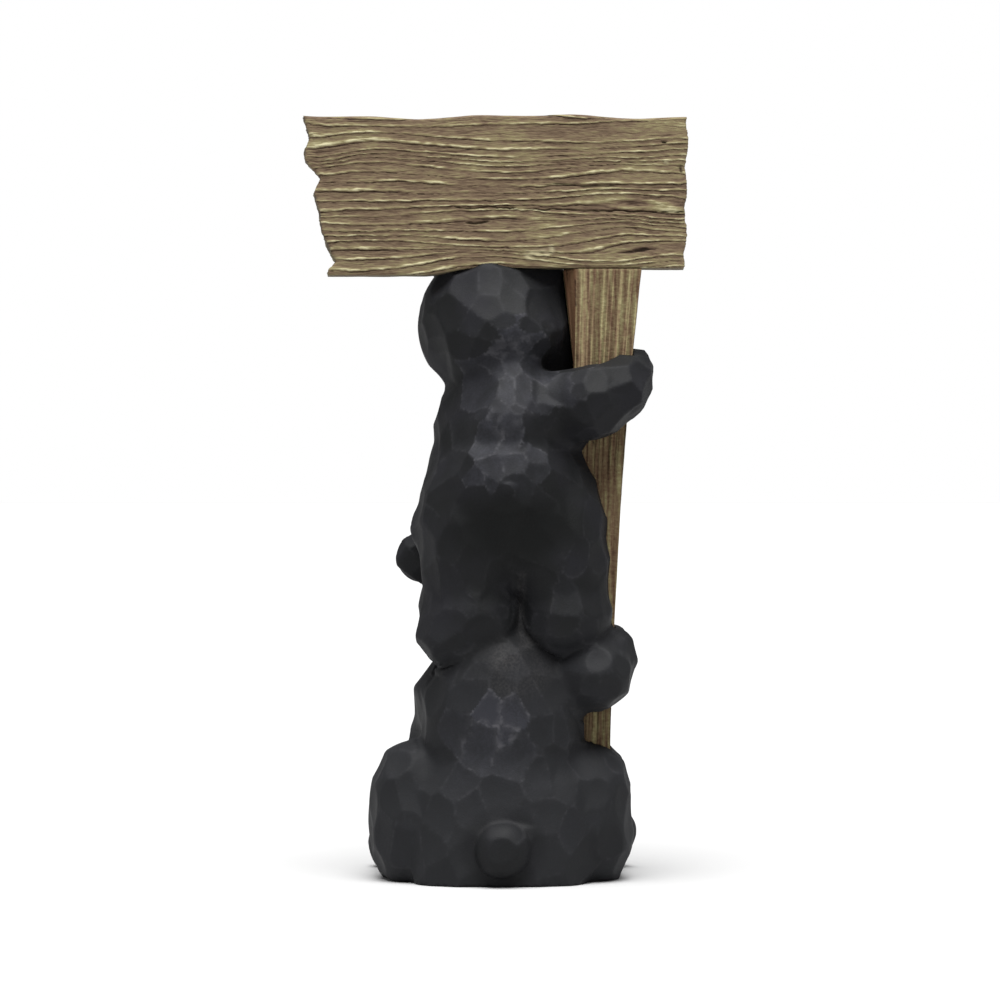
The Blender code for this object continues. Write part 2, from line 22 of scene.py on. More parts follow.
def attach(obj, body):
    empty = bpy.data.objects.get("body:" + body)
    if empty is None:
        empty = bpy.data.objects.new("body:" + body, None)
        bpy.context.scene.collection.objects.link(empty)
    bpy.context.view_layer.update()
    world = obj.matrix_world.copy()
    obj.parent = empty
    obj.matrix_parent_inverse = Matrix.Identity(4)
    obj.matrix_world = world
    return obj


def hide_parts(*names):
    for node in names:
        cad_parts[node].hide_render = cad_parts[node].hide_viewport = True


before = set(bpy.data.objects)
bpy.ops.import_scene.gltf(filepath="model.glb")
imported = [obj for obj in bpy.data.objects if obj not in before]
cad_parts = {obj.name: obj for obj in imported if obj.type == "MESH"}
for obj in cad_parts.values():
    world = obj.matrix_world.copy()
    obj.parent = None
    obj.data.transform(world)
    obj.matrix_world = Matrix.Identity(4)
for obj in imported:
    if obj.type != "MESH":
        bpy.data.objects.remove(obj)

LOG = logging.getLogger("bears_sign")
MM = 0.001
BODY = "root"

Point = tuple[float, float, float]
Colour = tuple[float, float, float]
CutRow = tuple[float, float, float, float, float, float]
Socket = bpy.types.NodeSocket


class Coat(Enum):
    """The named layers of paint data that a mesh carries from its shape to its finish."""

    RELIEF = "relief"
    RIDGE = "ridge"
    # Rubbed paint, and painted highlight on the facets that face the light above.
    RUB_AND_HIGHLIGHT = "rub_and_highlight"
    DUST_AND_HIGHLIGHT = "dust_and_highlight"
    # Dust, and a painted highlight on the top of the tail's rim.
    BROWN = "brown"
    GLOSS = "gloss"
    # Dark cracks in the wood, and painted shade under the bears' rump.
    DARK = "dark"
    PALE = "pale"
    RIM = "rim"


def smoothstep(low: float, high: float, value: np.ndarray) -> np.ndarray:
    """Rises smoothly from 0 at low to 1 at high.

    Args:
        low: Where the rise starts.
        high: Where the rise ends.
        value: The values to look up.

    Returns:
        The height of the rise at each value.
    """
    share = np.clip((value - low) / (high - low), 0.0, 1.0)
    return share * share * (3.0 - 2.0 * share)


def window(offset: np.ndarray, reach: float) -> np.ndarray:
    """A soft hump that is 1 where the offset is 0 and fades over the reach."""
    return np.exp(-((offset / reach) ** 2))


def segment_distance(points: np.ndarray, start: Point, end: Point) -> np.ndarray:
    """How far each point is from a straight line between two ends.

    Args:
        points: Rows of coordinates.
        start: One end of the line.
        end: The other end.

    Returns:
        The distance of each point.
    """
    origin = np.array(start)
    along = np.array(end) - origin
    share = np.clip((points - origin) @ along / (along @ along), 0.0, 1.0)
    return np.linalg.norm(points - origin - share[:, None] * along, axis=1)


@dataclass(frozen=True)
class Wander:
    """A smooth random field over a plane, between -1 and 1, the same each time for a seed."""

    seed: int

    def at(self, across: np.ndarray, up: np.ndarray) -> np.ndarray:
        """Looks the field up.

        Args:
            across: First coordinate, in cells of the field.
            up: Second coordinate, in cells of the field.

        Returns:
            The field's value at each place.
        """
        size = 256
        table = np.random.default_rng(self.seed).uniform(-1.0, 1.0, (size, size))
        column = np.floor(across).astype(int)
        row = np.floor(up).astype(int)
        right = across - column
        above = up - row
        right = right * right * (3.0 - 2.0 * right)
        above = above * above * (3.0 - 2.0 * above)
        low = table[column % size, row % size]
        low = low + right * (table[(column + 1) % size, row % size] - low)
        high = table[column % size, (row + 1) % size]
        high = high + right * (table[(column + 1) % size, (row + 1) % size] - high)
        return low + above * (high - low)


def vertex_places(mesh: bpy.types.Mesh) -> np.ndarray:
    """Reads where a mesh's vertices are.

    Args:
        mesh: The mesh.

    Returns:
        Rows of coordinates.
    """
    places = np.empty(len(mesh.vertices) * 3)
    mesh.vertices.foreach_get("co", places)
    return places.reshape(-1, 3)


def move_vertices(mesh: bpy.types.Mesh, places: np.ndarray) -> None:
    """Puts the mesh's vertices at rows of coordinates."""
    mesh.vertices.foreach_set("co", places.astype(np.float32).ravel())
    mesh.update()


def store_coat(mesh: bpy.types.Mesh, coat: Coat, values: np.ndarray) -> None:
    """Keeps one value a vertex on the mesh, for its finish to read.

    Args:
        mesh: The mesh.
        coat: Which layer the values are.
        values: One value for each vertex.
    """
    layer = mesh.attributes.new(coat.value, "FLOAT", "POINT")
    layer.data.foreach_set("value", np.asarray(values, dtype=np.float32))


def mesh_from(shape: bmesh.types.BMesh, name: str) -> bpy.types.Mesh:
    """Turns a finished bmesh into a mesh and frees it.

    Args:
        shape: The finished bmesh.
        name: The mesh's name.

    Returns:
        The mesh.
    """
    mesh = bpy.data.meshes.new(name)
    shape.to_mesh(mesh)
    shape.free()
    return mesh


def cut_upright_edges(shape: bmesh.types.BMesh, cuts: int) -> None:
    """Cuts a unit-high shape's upright edges into equal steps and turns its faces outwards.

    Args:
        shape: The shape.
        cuts: How many cuts each edge gets.
    """
    upright = [edge for edge in shape.edges if abs(edge.verts[0].co.z - edge.verts[1].co.z) > 0.5]
    if cuts:
        bmesh.ops.subdivide_edges(shape, edges=upright, cuts=cuts, use_grid_fill=True)
    bmesh.ops.recalc_face_normals(shape, faces=shape.faces)


def add_object(name: str, mesh: bpy.types.Mesh) -> bpy.types.Object:
    """Links a new object at the origin, smoothly shaded.

    Args:
        name: The object's name.
        mesh: Its mesh.

    Returns:
        The object.
    """
    mesh.polygons.foreach_set("use_smooth", [True] * len(mesh.polygons))
    piece = bpy.data.objects.new(name, mesh)
    bpy.context.scene.collection.objects.link(piece)
    return piece


def evaluated_copy(piece: bpy.types.Object) -> bpy.types.Mesh:
    """Applies an object's modifiers and removes the object.

    Args:
        piece: The object.

    Returns:
        Its mesh with the modifiers applied.
    """
    bpy.context.view_layer.update()
    graph = bpy.context.evaluated_depsgraph_get()
    mesh = bpy.data.meshes.new_from_object(piece.evaluated_get(graph))
    bpy.data.objects.remove(piece)
    return mesh


class PaintSheet:
    """A material's node tree, with short ways to add and join its nodes."""

    def __init__(self, name: str) -> None:
        """Starts a material with one shader.

        Args:
            name: The material's name.
        """
        self.material = bpy.data.materials.new(name)
        self.material.use_nodes = True
        self.tree = self.material.node_tree
        self.shader = self.tree.nodes["Principled BSDF"]
        self.place = self.tree.nodes.new("ShaderNodeTexCoord").outputs["Object"]

    def feed(self, socket: Socket, source: object) -> None:
        """Joins a socket to another one, or gives it a plain value.

        Args:
            socket: The socket to feed.
            source: A socket, a number or a colour.
        """
        if isinstance(source, Socket):
            self.tree.links.new(source, socket)
        else:
            socket.default_value = source

    def coat(self, coat: Coat) -> Socket:
        """Reads a layer of paint data from the mesh.

        Args:
            coat: The layer.

        Returns:
            The layer's socket.
        """
        node = self.tree.nodes.new("ShaderNodeAttribute")
        node.attribute_name = coat.value
        return node.outputs["Fac"]

    def stretched(self, stretch: Point) -> Socket:
        """Object coordinates, multiplied along each axis.

        Args:
            stretch: What each axis is multiplied by.

        Returns:
            The coordinates' socket.
        """
        node = self.tree.nodes.new("ShaderNodeMapping")
        self.feed(node.inputs["Vector"], self.place)
        node.inputs["Scale"].default_value = stretch
        return node.outputs["Vector"]

    def noise(self, scale: float, detail: float = 2.0, stretch: Point = (1, 1, 1)) -> Socket:
        """A cloudy pattern between 0 and 1.

        Args:
            scale: Its cells a metre.
            detail: How many finer layers it has.
            stretch: How much the cells shrink along each axis.

        Returns:
            The pattern's socket.
        """
        node = self.tree.nodes.new("ShaderNodeTexNoise")
        self.feed(node.inputs["Vector"], self.stretched(stretch))
        node.inputs["Scale"].default_value = scale
        node.inputs["Detail"].default_value = detail
        return node.outputs["Fac"]

    def math(self, operation: str, first: object, second: object = 0.0) -> Socket:
        """Arithmetic on two values.

        Args:
            operation: The sum's name, as the node has it.
            first: A socket or a number.
            second: A socket or a number.

        Returns:
            The result's socket.
        """
        node = self.tree.nodes.new("ShaderNodeMath")
        node.operation = operation
        self.feed(node.inputs[0], first)
        self.feed(node.inputs[1], second)
        return node.outputs["Value"]

    def scaled(self, source: object, scale: float, start: object = 0.0) -> Socket:
        """A value times a scale, added to a start.

        Args:
            source: The socket to scale.
            scale: What it is multiplied by.
            start: What it is added to, a socket or a number.

        Returns:
            The result's socket.
        """
        result = self.math("MULTIPLY_ADD", source, scale)
        self.feed(result.node.inputs[2], start)
        return result

    def between(self, source: object, low: float, high: float) -> Socket:
        """Rises smoothly from 0 to 1 as the source goes from low to high.

        Args:
            source: The socket to read.
            low: Where the rise starts.
            high: Where it ends.

        Returns:
            The rise's socket.
        """
        node = self.tree.nodes.new("ShaderNodeMapRange")
        node.interpolation_type = "SMOOTHSTEP"
        self.feed(node.inputs["Value"], source)
        node.inputs["From Min"].default_value = low
        node.inputs["From Max"].default_value = high
        return node.outputs["Result"]

    def mix(self, share: object, first: object, second: object) -> Socket:
        """Lays the second colour over the first by a share.

        Args:
            share: How much of the second shows.
            first: The lower colour, or its socket.
            second: The upper colour, or its socket.

        Returns:
            The mixed colour's socket.
        """
        node = self.tree.nodes.new("ShaderNodeMix")
        node.data_type = "RGBA"
        self.feed(node.inputs["Factor"], share)
        for name, source in (("A", first), ("B", second)):
            socket = next(s for s in node.inputs if s.name == name and s.type == "RGBA")
            whole = isinstance(source, Socket)
            self.feed(socket, source if whole else (*source, 1.0))
        return next(s for s in node.outputs if s.type == "RGBA")

    def ramp(self, source: object, stops: Iterable[tuple[float, Colour]]) -> Socket:
        """A colour that follows a value through named stops.

        Args:
            source: The value to follow.
            stops: Each stop's place and colour, in rising order.

        Returns:
            The colour's socket.
        """
        node = self.tree.nodes.new("ShaderNodeValToRGB")
        self.feed(node.inputs["Fac"], source)
        elements = node.color_ramp.elements
        for index, (place, colour) in enumerate(stops):
            element = elements[index] if index < len(elements) else elements.new(1.0)
            element.position = place
            element.color = (*colour, 1.0)
        return node.outputs["Color"]

    def bump(self, height: object, distance: float) -> None:
        """Lets a pattern dent the surface.

        Args:
            height: The pattern's socket.
            distance: How deep it dents at most.
        """
        node = self.tree.nodes.new("ShaderNodeBump")
        self.feed(node.inputs["Height"], height)
        node.inputs["Distance"].default_value = distance
        self.tree.links.new(node.outputs["Normal"], self.shader.inputs["Normal"])

    def close(
        self, colour: object, roughness: object, specular: float
    ) -> bpy.types.Material:
        """Joins the colour and the roughness to the shader.

        Args:
            colour: The colour's socket.
            roughness: The roughness, or its socket.
            specular: The shader's specular level.

        Returns:
            The finished material.
        """
        self.feed(self.shader.inputs["Base Color"], colour)
        self.feed(self.shader.inputs["Roughness"], roughness)
        self.shader.inputs["Specular IOR Level"].default_value = specular
        return self.material


@dataclass(frozen=True)
class BlackPaint:
    """Matt black paint, rubbed a little grey on the ridges, with painted highlights and shade, brown
    muzzles and glossy eyes.
    """

    name: str = "black_paint"
    body: Colour = (0.0060, 0.0064, 0.0068)
    faded: Colour = (0.0092, 0.0092, 0.0112)
    # Rubbed grey paint, which also stands for a painted highlight on the facets that face the light
    # above.
    rubbed_and_highlight: Colour = (0.0242, 0.0246, 0.0305)
    # A lighter grey, laid on low down the lower bear.
    lower_grey: Colour = (0.0128, 0.0133, 0.0147)
    # Painted shade, laid under the rump.
    painted_shade: Colour = (0.0026, 0.0030, 0.0029)
    edge: Colour = (0.0700, 0.0690, 0.0760)
    # Dust on the nape, a paler line down the leg parting and a painted highlight along the top of
    # the tail's rim.
    dust_and_highlight: Colour = (0.0420, 0.0400, 0.0400)
    muzzle: Colour = (0.0560, 0.0310, 0.0170)
    glossy: Colour = (0.0030, 0.0030, 0.0032)
    specular: float = 0.16
    roughness: float = 0.60

    def material(self) -> bpy.types.Material:
        """Builds the paint.

        Returns:
            The material.
        """
        sheet = PaintSheet(self.name)
        cloud = sheet.between(sheet.noise(38.0, 4.0), 0.35, 0.70)
        colour = sheet.mix(cloud, self.body, self.faded)
        grain = sheet.between(sheet.noise(620.0, 3.0), 0.36, 0.66)
        # Lighter grey low down the lower bear.
        colour = sheet.mix(sheet.coat(Coat.PALE), colour, self.lower_grey)
        # Rubbed paint and painted highlight: the facets that face the light above are painted
        # lighter, in smeared patches.
        smear = sheet.between(sheet.noise(120.0, 4.0, (1.0, 1.0, 0.6)), 0.30, 0.70)
        rub_and_highlight = sheet.math("MULTIPLY", sheet.coat(Coat.RUB_AND_HIGHLIGHT), sheet.scaled(smear, 0.55, 0.45))
        rub_and_highlight = sheet.math("MULTIPLY", rub_and_highlight, sheet.scaled(grain, 0.35, 0.70))
        colour = sheet.mix(rub_and_highlight, colour, self.rubbed_and_highlight)
        broken = sheet.between(sheet.noise(170.0, 3.0), 0.36, 0.60)
        ridge = sheet.math("MULTIPLY", sheet.coat(Coat.RIDGE), broken)
        colour = sheet.mix(ridge, colour, self.edge)
        # Painted shade under the rump.
        colour = sheet.mix(sheet.coat(Coat.DARK), colour, self.painted_shade)
        # Dust, with a painted highlight on the top of the tail's rim.
        dust_and_highlight = sheet.math("MULTIPLY", sheet.coat(Coat.DUST_AND_HIGHLIGHT), sheet.scaled(grain, 0.70, 0.25))
        colour = sheet.mix(dust_and_highlight, colour, self.dust_and_highlight)
        colour = sheet.mix(sheet.coat(Coat.BROWN), colour, self.muzzle)
        gloss = sheet.coat(Coat.GLOSS)
        colour = sheet.mix(gloss, colour, self.glossy)
        rough = sheet.scaled(cloud, 0.08, self.roughness)
        rough = sheet.math("SUBTRACT", rough, sheet.math("MULTIPLY", gloss, 0.44))
        fine = sheet.math("ADD", sheet.noise(1300.0, 3.0), sheet.noise(240.0, 2.0))
        sheet.bump(fine, 0.00014)
        return sheet.close(colour, rough, self.specular)


@dataclass(frozen=True)
class PlankPaint:
    """Weathered wood paint: mauve-brown faces, olive-tan crests and dark cuts, partly painted
    highlight on the crests and painted shade in the cuts.
    """

    name: str = "plank_paint"
    cut: Colour = (0.020, 0.012, 0.007)
    low: Colour = (0.078, 0.049, 0.032)
    face: Colour = (0.160, 0.112, 0.071)
    olive: Colour = (0.235, 0.200, 0.102)
    crest: Colour = (0.500, 0.460, 0.285)
    rim: Colour = (0.055, 0.047, 0.030)
    specular: float = 0.15

    def material(self) -> bpy.types.Material:
        """Builds the paint.

        Returns:
            The material.
        """
        sheet = PaintSheet(self.name)
        relief = sheet.coat(Coat.RELIEF)
        stroke = sheet.scaled(sheet.noise(58.0, 4.0, (1.0, 1.0, 9.0)), 1.0, -0.5)
        hair = sheet.scaled(sheet.noise(380.0, 4.0, (0.45, 1.0, 3.6)), 1.0, -0.5)
        weather = sheet.between(sheet.noise(21.0, 4.0, (1.0, 1.0, 2.6)), 0.42, 0.70)
        height = sheet.scaled(stroke, 0.42, relief)
        height = sheet.scaled(hair, 0.72, height)
        height = sheet.scaled(weather, 0.19, height)
        # Colour by height: the crests' pale olive-tan is partly dry-brushed paint and partly painted
        # highlight, and the cuts' near-black is partly dark paint and partly painted shade.
        tones = (self.cut, self.low, self.face, self.olive, self.crest)
        colour = sheet.ramp(height, zip((0.05, 0.24, 0.46, 0.72, 0.98), tones))
        colour = sheet.mix(sheet.coat(Coat.PALE), colour, self.crest)
        colour = sheet.mix(sheet.coat(Coat.DARK), colour, self.cut)
        colour = sheet.mix(sheet.coat(Coat.RIM), colour, self.rim)
        sheet.bump(sheet.math("ADD", stroke, hair), 0.00045)
        return sheet.close(colour, 0.78, self.specular)


@dataclass(frozen=True)
class PostPaint:
    """Weathered wood paint on upright grain: tan ridges and reddish-brown grooves."""

    name: str = "post_paint"
    cut: Colour = (0.026, 0.014, 0.008)
    groove: Colour = (0.088, 0.050, 0.028)
    face: Colour = (0.128, 0.089, 0.048)
    ridge: Colour = (0.184, 0.157, 0.077)
    crest: Colour = (0.290, 0.262, 0.145)
    smooth: Colour = (0.125, 0.062, 0.033)
    specular: float = 0.15

    def material(self) -> bpy.types.Material:
        """Builds the paint.

        Returns:
            The material.
        """
        sheet = PaintSheet(self.name)
        relief = sheet.coat(Coat.RELIEF)
        stroke = sheet.scaled(sheet.noise(70.0, 4.0, (7.0, 7.0, 1.0)), 1.0, -0.5)
        mottle = sheet.scaled(sheet.noise(430.0, 3.0, (1.0, 1.0, 1.8)), 1.0, -0.5)
        height = sheet.scaled(mottle, 0.55, sheet.scaled(stroke, 0.50, relief))
        tones = (self.cut, self.groove, self.face, self.ridge, self.crest)
        colour = sheet.ramp(height, zip((0.05, 0.26, 0.48, 0.72, 0.98), tones))
        colour = sheet.mix(sheet.coat(Coat.PALE), colour, self.smooth)
        colour = sheet.mix(sheet.coat(Coat.DARK), colour, self.cut)
        sheet.bump(sheet.math("ADD", stroke, mottle), 0.00040)
        return sheet.close(colour, 0.78, self.specular)


Paint = BlackPaint | PlankPaint | PostPaint


def painted_piece(mesh: bpy.types.Mesh, finish: Paint, node: str) -> bpy.types.Object:
    """Paints a mesh and lets it stand for a solid and move with the part's body.

    Args:
        mesh: The finished mesh.
        finish: Its paint, named as the record's material slot is.
        node: The solid that it stands for.

    Returns:
        The piece.
    """
    name = f"{node}_look"
    mesh.name = name
    mesh.materials.append(finish.material())
    piece = add_object(name, mesh)
    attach(piece, BODY)
    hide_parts(node)
    LOG.info("%s: %d faces", piece.name, len(mesh.polygons))
    return piece


@dataclass(frozen=True)
class FloorPaint:
    """The plain pale floor."""

    name: str = "pale_floor"
    colour: Colour = (0.50, 0.50, 0.50)

    def material(self) -> bpy.types.Material:
        """Builds the paint."""
        sheet = PaintSheet(self.name)
        return sheet.close((*self.colour, 1.0), 0.9, 0.1)


@dataclass(frozen=True)
class Sweep:
    """A place on the plank where the grain climbs or falls.

    Sizes are in millimetres. slope is the rise of the grain along +X.
    """

    x: float
    z: float
    reach_x: float
    reach_z: float
    slope: float

    def lift(self, x: np.ndarray, z: np.ndarray) -> np.ndarray:
        """How far the grain is lifted.

        Args:
            x: Places along the plank.
            z: Places up the plank.

        Returns:
            The lift at each place.
        """
        offset = x - self.x
        share = window(offset, self.reach_x) * window(z - self.z, self.reach_z)
        return self.slope * offset * share


@dataclass(frozen=True)
class Scar:
    """A crack, pit or flake along a line on a back face. Sizes are in millimetres."""

    start: tuple[float, float]
    end: tuple[float, float]
    width: float
    depth: float
    coat: Coat

    def reach(self, x: np.ndarray, z: np.ndarray) -> np.ndarray:
        """How much of the scar there is, with its edges ragged.

        Args:
            x: Places across the face.
            z: Places up the face.

        Returns:
            A share from 0 to 1 at each place.
        """
        ragged = z + 0.9 * Wander(71).at(x / 7.0, z / 40.0) + 0.4 * Wander(72).at(x / 2.1, z / 9.0)
        points = np.stack((x, np.zeros_like(x), ragged), axis=1)
        start = (self.start[0], 0.0, self.start[1])
        end = (self.end[0], 0.0, self.end[1])
        away = segment_distance(points, start, end)
        patchy = np.clip(0.75 + 0.7 * Wander(73).at(x / 3.4, z / 1.7), 0.0, 1.0)
        return patchy * (1.0 - smoothstep(0.30 * self.width, self.width, away))


@dataclass
class SignBoard:
    """The plank: wavy shingled grain on both faces, a torn end and a sawn end.

    Sizes are in millimetres. Each row of waver is a wave of the grain: which of the face's
    random fields it follows, how far it lifts, and how long and high its cells are.
    """

    length: float = 248.5
    height: float = 97.7
    thickness: float = 22.0
    torn_end_x: float = 126.0
    underside_z: float = 392.0
    back_y: float = 20.0
    sag: float = 4.5
    sag_from_x: float = 12.0
    sag_to_x: float = 50.0
    columns: int = 165
    rows: int = 255
    rim_cuts: int = 9
    strand_pitch: float = 4.6
    strand_depth: float = 1.5
    thread_pitch: float = 1.75
    edge_wear: float = 1.1
    torn_slant: float = 2.0
    waver: tuple[tuple[int, float, float, float], ...] = (
        (0, 1.5, 58.0, 21.0), (1, 0.50, 16.0, 6.5), (2, 0.30, 4.6, 2.6), (8, 0.26, 2.6, 1.5),
    )
    finish: PlankPaint = field(default_factory=PlankPaint)

    def underside(self, x: np.ndarray) -> np.ndarray:
        """Height of the lower edge: level on its seats, sagging towards the torn end."""
        return self.underside_z - self.sag * smoothstep(self.sag_from_x, self.sag_to_x, x)

    def top(self, x: np.ndarray) -> np.ndarray:
        """Height of the upper edge, with a slow wave."""
        wave = 1.1 * np.sin(0.038 * x + 2.3) + 0.6 * np.sin(0.095 * x)
        return self.underside_z + self.height + wave

    def torn_inset(self, share: np.ndarray) -> np.ndarray:
        """How far the torn end falls short, at a share of the plank's height.

        Args:
            share: Shares of the height.

        Returns:
            The insets, in millimetres.
        """
        shares = (0.0, 0.025, 0.09, 0.13, 0.28, 0.42, 0.52, 0.61, 0.72, 0.79, 0.865, 1.0)
        insets = (16.0, 15.5, 20.5, 18.6, 11.5, 10.3, 7.0, 11.0, 1.0, 1.4, 4.0, 0.0)
        return np.interp(share, shares, insets)

    def sawn_inset(self, share: np.ndarray) -> np.ndarray:
        """How far the sawn end falls short, at a share of the plank's height."""
        return 2.2 + 1.8 * (1.0 - share) + 0.8 * np.sin(21.0 * share)

    def sweeps(self) -> tuple[Sweep, ...]:
        """Where the grain climbs and falls.

        Returns:
            The places.
        """
        return (
            Sweep(102.0, 469.0, 34.0, 13.0, -0.20),
            Sweep(-83.0, 476.0, 42.0, 12.0, -0.08),
            Sweep(-95.0, 424.0, 30.0, 11.0, 0.14),
            Sweep(-77.0, 402.0, 44.0, 9.0, -0.12),
            Sweep(20.0, 446.0, 40.0, 20.0, 0.03),
        )

    def scars(self) -> tuple[Scar, ...]:
        """The cracks, pits and flakes that stand out from the grain.

        Returns:
            The scars.
        """
        return (
            Scar((27.5, 431.2), (-40.0, 429.6), 0.75, 1.5, Coat.DARK),
            Scar((-40.0, 429.6), (-117.0, 428.0), 0.85, 1.7, Coat.DARK),
            Scar((20.5, 421.6), (7.0, 421.4), 1.25, 1.6, Coat.DARK),
            Scar((-29.5, 445.4), (-75.0, 445.2), 1.35, 1.1, Coat.DARK),
            Scar((-18.5, 400.5), (-32.0, 403.5), 4.2, -0.5, Coat.PALE),
            Scar((-105.0, 472.2), (-105.4, 472.0), 1.5, 1.5, Coat.DARK),
            Scar((-106.4, 460.0), (-106.8, 459.8), 2.2, -0.6, Coat.PALE),
            Scar((-116.5, 453.5), (-115.5, 457.5), 1.3, 1.4, Coat.DARK),
        )

    def grain(self, x: np.ndarray, z: np.ndarray, seed: int) -> tuple[np.ndarray, np.ndarray]:
        """The shingled grain of one face.

        Args:
            x: Places along the plank.
            z: Places up the plank.
            seed: Which face it is.

        Returns:
            The depth of the cut below the face, and the height in the relief from 0 to 1.
        """
        level = z - sum(sweep.lift(x, z) for sweep in self.sweeps())
        for step, lift, length, height in self.waver:
            level = level + lift * Wander(seed + step).at(x / length, level / height)
        widths = 1.35 * Wander(seed + 3).at(x / 85.0, level / 9.5)
        phase = level / self.strand_pitch + widths
        strand = np.floor(phase)
        share = phase - strand
        strength = np.clip(0.62 + 0.75 * Wander(seed + 4).at(x / 22.0, 3.7 * strand), 0.10, 1.0)
        groove = 1.0 - smoothstep(0.0, 0.11, share) + smoothstep(0.95, 1.0, share)
        broken = 0.85 + 0.5 * Wander(seed + 9).at(x / 4.2, 5.3 * strand)
        lip = broken * window(share - 0.19, 0.12)
        height = 0.50 + 0.46 * strength * lip - 0.58 * strength * groove - 0.10 * share
        fine = level / self.thread_pitch + 0.6 * Wander(seed + 5).at(x / 13.0, level / 2.1)
        thread = np.abs(2.0 * (fine - np.floor(fine)) - 1.0)
        notch_strength = 0.42 + 0.8 * Wander(seed + 6).at(x / 17.0, 2.9 * np.floor(fine + 0.5))
        notch = np.clip(notch_strength, 0.0, 1.0) * smoothstep(0.70, 1.0, thread)
        height = height - 0.24 * notch + 0.05 * Wander(seed + 7).at(x / 1.9, z / 0.8)
        return self.strand_depth * (0.95 - height), height

    def blank(self, name: str, columns: int, rows: int, rim_cuts: int) -> bpy.types.Mesh:
        """A square block one unit wide, with a grid on both faces and cuts round its rim.

        Args:
            name: The mesh's name.
            columns: How many faces it is long.
            rows: How many faces it is high.
            rim_cuts: How many cuts go round its rim.

        Returns:
            The block's mesh.
        """
        block = bmesh.new()
        bmesh.ops.create_grid(block, x_segments=columns, y_segments=rows, size=0.5)
        grown = bmesh.ops.extrude_face_region(block, geom=list(block.faces), use_keep_orig=True)
        lifted = [item for item in grown["geom"] if isinstance(item, bmesh.types.BMVert)]
        bmesh.ops.translate(block, vec=(0.0, 0.0, 1.0), verts=lifted)
        cut_upright_edges(block, rim_cuts)
        return mesh_from(block, name)

    def build(self) -> bpy.types.Object:
        """Shapes the blank into the plank and paints it.

        Returns:
            The plank.
        """
        mesh = self.blank("sign_board_look", self.columns, self.rows, self.rim_cuts)
        raw = vertex_places(mesh)
        along, share, turned = raw[:, 0] + 0.5, raw[:, 1] + 0.5, raw[:, 2]
        left = self.torn_end_x - self.length + self.sawn_inset(share)
        right = self.torn_end_x - self.torn_inset(share)
        x = left + along * (right - left)
        low, high = self.underside(x), self.top(x)
        z = low + share * (high - low)
        y = self.back_y - self.thickness + turned * self.thickness
        slight = 1e-6
        at_end = (along < slight) | (along > 1.0 - slight)
        at_edge = (share < slight) | (share > 1.0 - slight)
        on_back, on_front = turned > 1.0 - slight, turned < slight
        rim = at_end | at_edge

        back_depth, back_relief = self.grain(x, z, 11)
        front_depth, front_relief = self.grain(x + 300.0, z, 37)
        dark, pale = np.zeros_like(x), np.zeros_like(x)
        for scar in self.scars():
            reach = scar.reach(x, z) * on_back
            back_depth += scar.depth * reach
            if scar.coat is Coat.DARK:
                dark = np.maximum(dark, 0.85 * reach)
            else:
                pale = np.maximum(pale, 0.55 * reach)

        inset = np.minimum(np.minimum(x - left, right - x), np.minimum(z - low, high - z))
        wear = self.edge_wear * np.clip(1.0 - inset / 1.8, 0.0, 1.0) ** 2
        y = np.where(on_back, y - np.maximum(back_depth, -0.6) - wear, y)
        y = np.where(on_front, y + front_depth + wear, y)

        splinter = Wander(51).at(z / 2.2, y / 6.0) + 0.6 * Wander(52).at(z / 0.9, y / 2.5)
        torn = 0.4 * splinter * smoothstep(0.965, 1.0, along)
        sawn = 0.45 * splinter * smoothstep(0.03, 0.0, along)
        slant = self.torn_slant * (0.7 + 0.5 * Wander(53).at(z / 9.0, y / 11.0))
        x = x + torn + sawn + slant * (1.0 - turned) * smoothstep(0.965, 1.0, along)
        fibre = Wander(54).at(x / 26.0, y / 2.1) + 0.5 * Wander(55).at(x / 9.0, y / 0.9)
        edge_fade = smoothstep(0.985, 1.0, share) - smoothstep(0.015, 0.0, share)
        z = z - 0.55 * (0.5 + 0.5 * fibre) * edge_fade

        relief = np.where(on_back, back_relief, front_relief)
        edge_relief = np.where(at_end, 0.45 + 0.35 * splinter, 0.45 + 0.35 * fibre)
        inside_rim = rim & ~on_back & ~on_front
        relief = np.where(inside_rim, edge_relief, relief)
        move_vertices(mesh, np.stack((x, y, z), axis=1) * MM)
        store_coat(mesh, Coat.RELIEF, relief)
        store_coat(mesh, Coat.DARK, dark)
        store_coat(mesh, Coat.PALE, pale)
        store_coat(mesh, Coat.RIM, 0.6 * inside_rim)
        return painted_piece(mesh, self.finish, "sign_board")

    def seat_cutter(self, gap: float) -> bpy.types.Object:
        """The room that the plank takes out of the upper bear's head, open to the back.

        Args:
            gap: How far the room stands off the plank.

        Returns:
            The cutter, which isn't part of the model.
        """
        margin = 60.0
        mesh = self.blank("seat_cutter", columns=24, rows=1, rim_cuts=0)
        raw = vertex_places(mesh)
        x = self.torn_end_x - self.length * (0.5 - raw[:, 0])
        z = np.where(raw[:, 1] > 0.0, self.underside_z + margin, self.underside(x) - gap)
        y = np.where(raw[:, 2] > 0.5, self.back_y + margin, self.back_y - self.thickness - gap)
        move_vertices(mesh, np.stack((x, y, z), axis=1) * MM)
        return add_object("seat_cutter", mesh)


